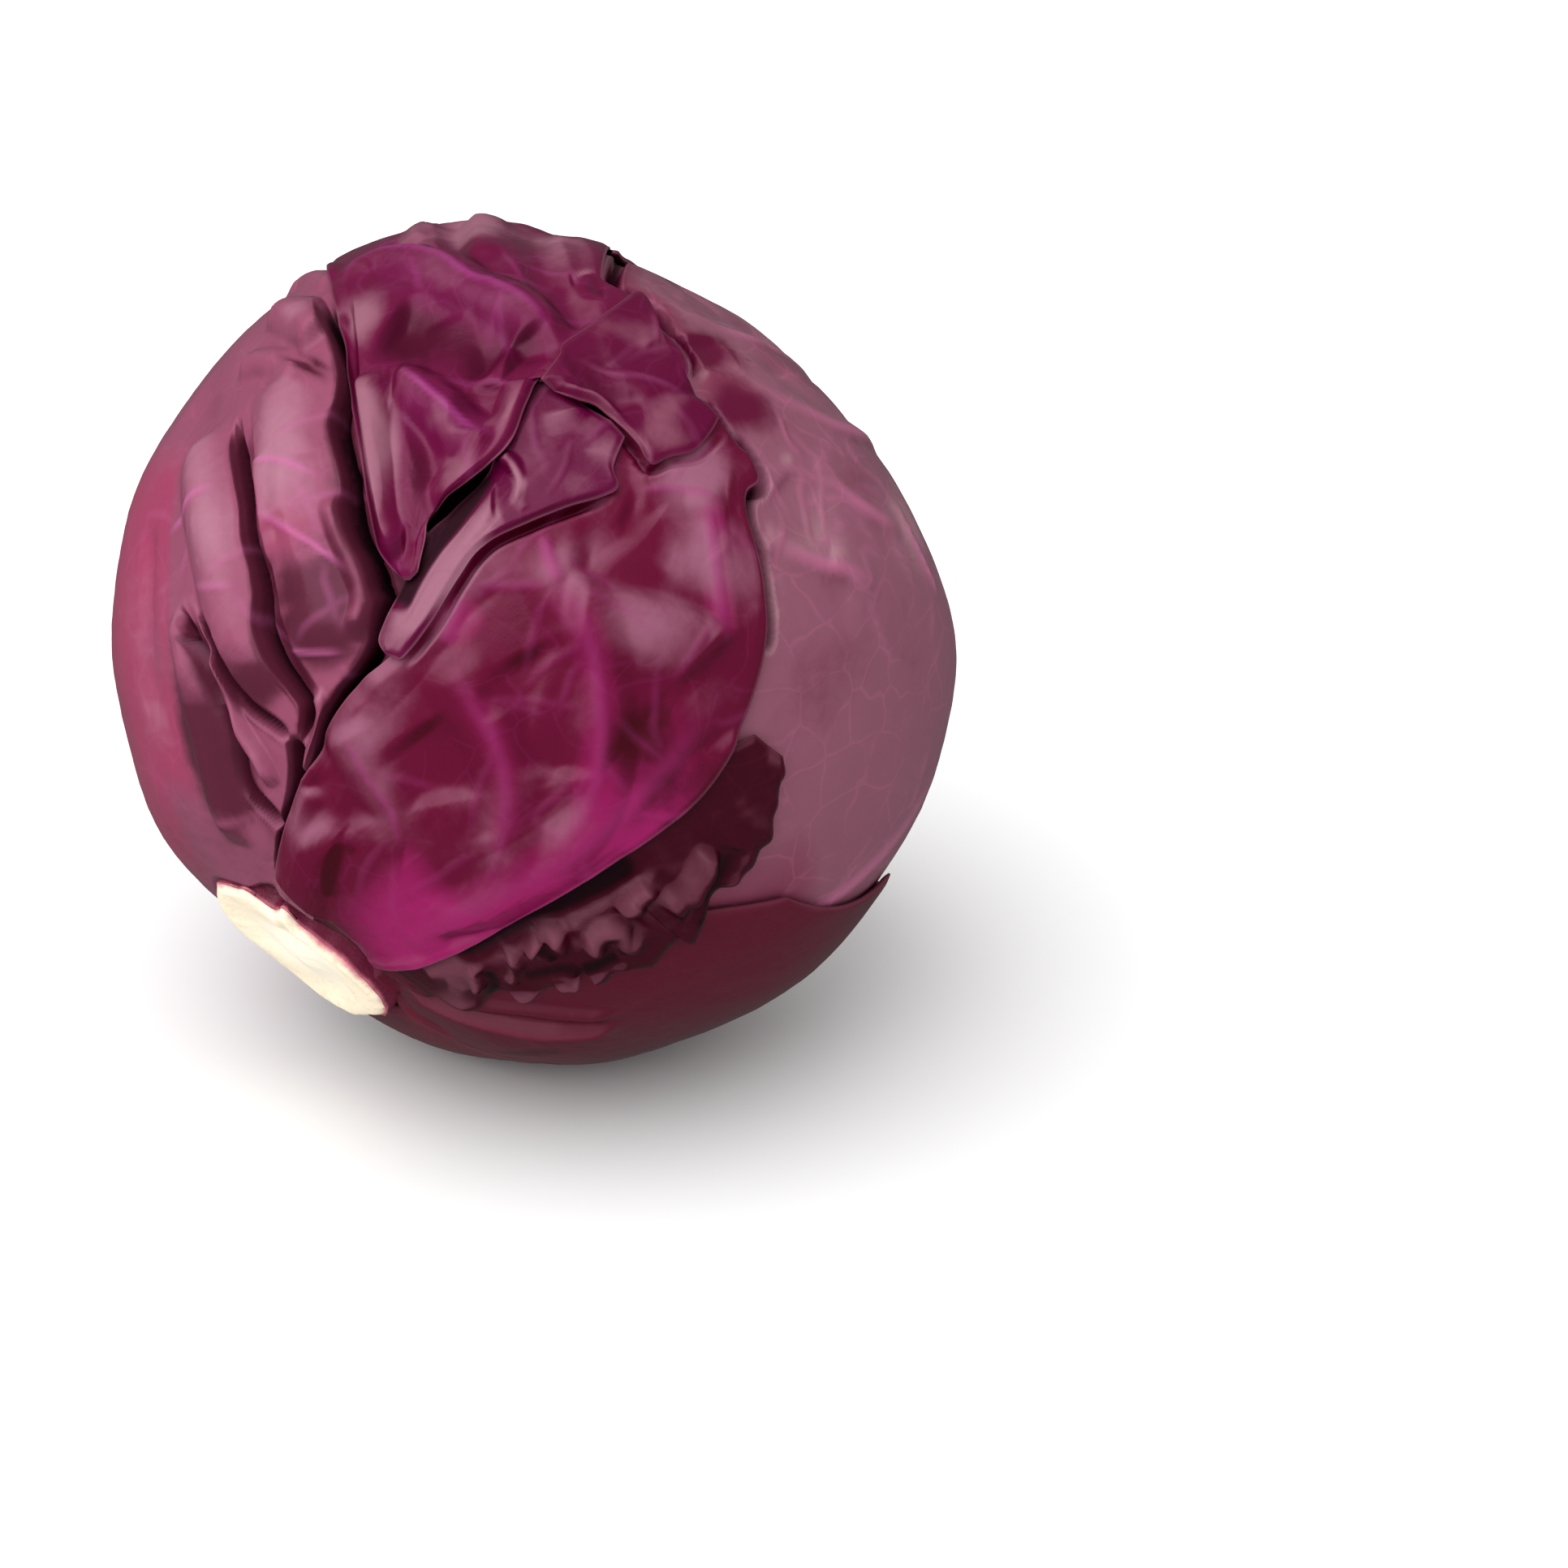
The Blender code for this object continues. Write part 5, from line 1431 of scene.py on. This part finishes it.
def add_stump():
    """A disc of rings for the cut face, run on down a side that widens under the leaves."""
    sizes = bpy.context.scene.cabbage_sizes
    bm = bmesh.new()
    bmesh.ops.create_cone(
        bm, cap_ends=True, cap_tris=True, segments=STUMP_SIDES, radius1=1.0, radius2=1.0, depth=1.0)
    side = [edge for edge in bm.edges if abs(edge.verts[0].co.z - edge.verts[1].co.z) > 0.5]
    bmesh.ops.subdivide_edges(bm, edges=side, cuts=STUMP_RINGS // 2)
    spokes = [edge for edge in bm.edges if min(vertex.co.xy.length for vertex in edge.verts) < 0.01]
    bmesh.ops.subdivide_edges(bm, edges=spokes, cuts=STUMP_RINGS)
    # How far each vertex is from the middle of the cut face: 1 at its rim, and up to 2 down the side
    reach = {}
    for vertex in bm.verts:
        angle = math.atan2(vertex.co.y, vertex.co.x)
        out = vertex.co.xy.length
        high = vertex.co.z + 0.5
        lobes = 1.0
        for turn, swell, width in STUMP_LOBES:
            apart = math.remainder(angle - math.radians(turn), 2 * math.pi)
            lobes += swell * math.exp(-(apart / math.radians(width)) ** 2)
        # Small nicks round the rim
        lobes += 0.012 * math.sin(11 * angle) + 0.008 * math.sin(23 * angle + 1.0)
        flare = 1.0 + STUMP_FLARE * (1.0 - high) ** 1.5
        radius = sizes.stump_radius * flare * (1.0 + (lobes - 1.0) * high) * out
        height = STUMP_FOOT + (STUMP_FACE - STUMP_FOOT) * high
        # The cut is a little uneven, and its rim is rounded
        if high > FACE_LEVEL:
            height += 0.0005 * math.sin(3 * angle + 9 * out) * out + 0.0006 * math.cos(7 * out)
            height -= 0.0016 * max(0.0, (out - 0.88) / 0.12) ** 2
        side = math.cos(angle) * STEM_FRONT + math.sin(angle) * STEM_SIDE
        vertex.co = Vector(MIDDLE + height * STEM + radius * side)
        reach[vertex.index] = out if high > FACE_LEVEL else 1.0 + (1.0 - high)
    bmesh.ops.recalc_face_normals(bm, faces=bm.faces[:])
    bm.verts.index_update()
    mesh = bpy.data.meshes.new("stump_flesh")
    bm.to_mesh(mesh)
    bm.free()
    mesh.shade_smooth()
    values = [reach[index] for index in range(len(mesh.vertices))]
    mesh.attributes.new("reach", "FLOAT", "POINT").data.foreach_set("value", values)
    mesh.materials.append(stump_material())
    piece = bpy.data.objects.new("stump_flesh", mesh)
    bpy.context.scene.collection.objects.link(piece)
    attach(piece, "root")
    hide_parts("stump")


def stump_material():
    """Moist cream flesh with a paler core, a thin pink rim, brown marks, and wine red sides."""
    colours = bpy.context.scene.cabbage_colours
    made, tree, shader = new_material("cut_stem")
    place = tree.node("ShaderNodeTexCoord").outputs["Object"]
    reach = tree.attribute("reach")
    wander = tree.math("MULTIPLY", tree.math("SUBTRACT", tree.noise(place, 260.0, 3.0), 0.5), 0.10)
    ring = tree.math("ADD", reach, wander)
    flesh = tree.mix(tree.remap(ring, 0.35, 0.75), (*colours.flesh_core, 1), (*colours.flesh, 1))
    streak = tree.remap(tree.noise(place, 700.0, 4.0), 0.50, 0.72)
    outward = tree.remap(ring, 0.3, 1.0)
    stain = tree.math("MULTIPLY", tree.math("MULTIPLY", streak, outward), 0.30)
    flesh = tree.mix(stain, flesh, (0.62, 0.36, 0.16, 1))
    flesh = tree.mix(tree.remap(ring, 0.94, 1.01), flesh, (*colours.flesh_edge, 1))
    flesh = tree.mix(tree.remap(ring, 1.02, 1.12), flesh, (*colours.side, 1))
    tree.links.new(flesh, shader.inputs["Base Color"])
    height = tree.math("ADD", tree.noise(place, 1500.0, 3.0), tree.noise(place, 320.0, 2.0))
    bump = tree.node("ShaderNodeBump", {"Height": height, "Strength": 0.3, "Distance": 0.0005})
    tree.links.new(bump.outputs["Normal"], shader.inputs["Normal"])
    shader.inputs["Roughness"].default_value = 0.42
    shader.inputs["Specular IOR Level"].default_value = 0.3
    return made


def add_light():
    """A large soft light from the upper left, in front."""
    studio = bpy.context.scene.cabbage_studio
    light = bpy.data.lights.new("key", "SUN")
    light.energy = studio.key
    light.angle = studio.key_spread
    holder = bpy.data.objects.new("key", light)
    holder.location = KEY_PLACE
    aim = Vector(MIDDLE) - holder.location
    holder.rotation_euler = aim.to_track_quat("-Z", "Y").to_euler()
    bpy.context.scene.collection.objects.link(holder)


def add_camera():
    """The photograph's view: the same elevation, distance and place in the frame."""
    camera = bpy.data.cameras.new("photo_view")
    holder = bpy.data.objects.new("photo_view", camera)
    holder.location = Vector(MIDDLE) + Vector(VIEW_NEAR) * VIEW_DISTANCE
    holder.rotation_euler = (-Vector(VIEW_NEAR)).to_track_quat("-Z", "Y").to_euler()
    half = HEAD_RADIUS / math.sqrt(VIEW_DISTANCE ** 2 - HEAD_RADIUS ** 2)
    camera.lens = camera.sensor_width / (half / PHOTO_RADIUS * PHOTO_SIZE)
    camera.shift_x = (PHOTO_SIZE / 2 - PHOTO_MIDDLE[0]) / PHOTO_SIZE
    camera.shift_y = (PHOTO_MIDDLE[1] - PHOTO_SIZE / 2) / PHOTO_SIZE
    bpy.context.scene.collection.objects.link(holder)
    bpy.context.scene.camera = holder


class CABBAGE_OT_stage(bpy.types.Operator):
    """Adds the pale floor, the soft light, the white surroundings and the camera"""

    bl_idname = "cabbage.stage"
    bl_label = "Stage"

    def execute(self, context):
        studio = context.scene.cabbage_studio
        bm = bmesh.new()
        bmesh.ops.create_grid(bm, x_segments=1, y_segments=1, size=FLOOR_HALF)
        mesh = bpy.data.meshes.new("floor")
        bm.to_mesh(mesh)
        bm.free()
        made, tree, shader = new_material("floor_white")
        shader.inputs["Base Color"].default_value = (*studio.floor, 1.0)
        shader.inputs["Roughness"].default_value = 0.9
        shader.inputs["Specular IOR Level"].default_value = 0.0
        mesh.materials.append(made)
        floor = bpy.data.objects.new("floor", mesh)
        context.scene.collection.objects.link(floor)
        floor.visible_glossy = False
        world = bpy.data.worlds.new("studio")
        world.use_nodes = True
        tree = Tree(world.node_tree)
        glossy = tree.node("ShaderNodeLightPath").outputs["Is Glossy Ray"]
        share = tree.math("SUBTRACT", 1.0, tree.math("MULTIPLY", glossy, WORLD_UNMIRRORED))
        strength = tree.math("MULTIPLY", studio.world, share)
        background = world.node_tree.nodes["Background"]
        background.inputs["Color"].default_value = (1, 1, 1, 1)
        tree.links.new(strength, background.inputs["Strength"])
        context.scene.world = world
        add_light()
        add_camera()
        context.scene.view_settings.view_transform = "Standard"
        return {"FINISHED"}


class CABBAGE_PT_panel(bpy.types.Panel):
    """The settings, and a button for each piece, in the order in which they are made"""

    bl_idname = "CABBAGE_PT_panel"
    bl_label = "Red cabbage"
    bl_space_type = "VIEW_3D"
    bl_region_type = "UI"
    bl_category = "Cabbage"

    def draw(self, context):
        for group_name in GROUPS:
            group = getattr(context.scene, group_name)
            for name in group.__annotations__:
                self.layout.prop(group, name)
        for operator in OPERATORS:
            self.layout.operator(operator.bl_idname)


OPERATORS = (
    CABBAGE_OT_heart,
    CABBAGE_OT_back_leaves,
    CABBAGE_OT_side_leaves,
    CABBAGE_OT_front_leaves,
    CABBAGE_OT_crown_leaves,
    CABBAGE_OT_stump,
    CABBAGE_OT_stage,
)
GROUPS = {
    "cabbage_sizes": CabbageSizes,
    "cabbage_colours": CabbageColours,
    "cabbage_studio": StudioSettings,
}


def register():
    for name, group in GROUPS.items():
        bpy.utils.register_class(group)
        setattr(bpy.types.Scene, name, PointerProperty(type=group))
    for made in (*OPERATORS, CABBAGE_PT_panel):
        bpy.utils.register_class(made)


def unregister():
    for made in (CABBAGE_PT_panel, *reversed(OPERATORS)):
        bpy.utils.unregister_class(made)
    for name, group in reversed(GROUPS.items()):
        delattr(bpy.types.Scene, name)
        bpy.utils.unregister_class(group)


def main():
    register()
    bpy.ops.cabbage.heart()
    bpy.ops.cabbage.back_leaves()
    bpy.ops.cabbage.side_leaves()
    bpy.ops.cabbage.front_leaves()
    bpy.ops.cabbage.crown_leaves()
    bpy.ops.cabbage.stump()
    bpy.ops.cabbage.stage()


if __name__ == "__main__":
    main()
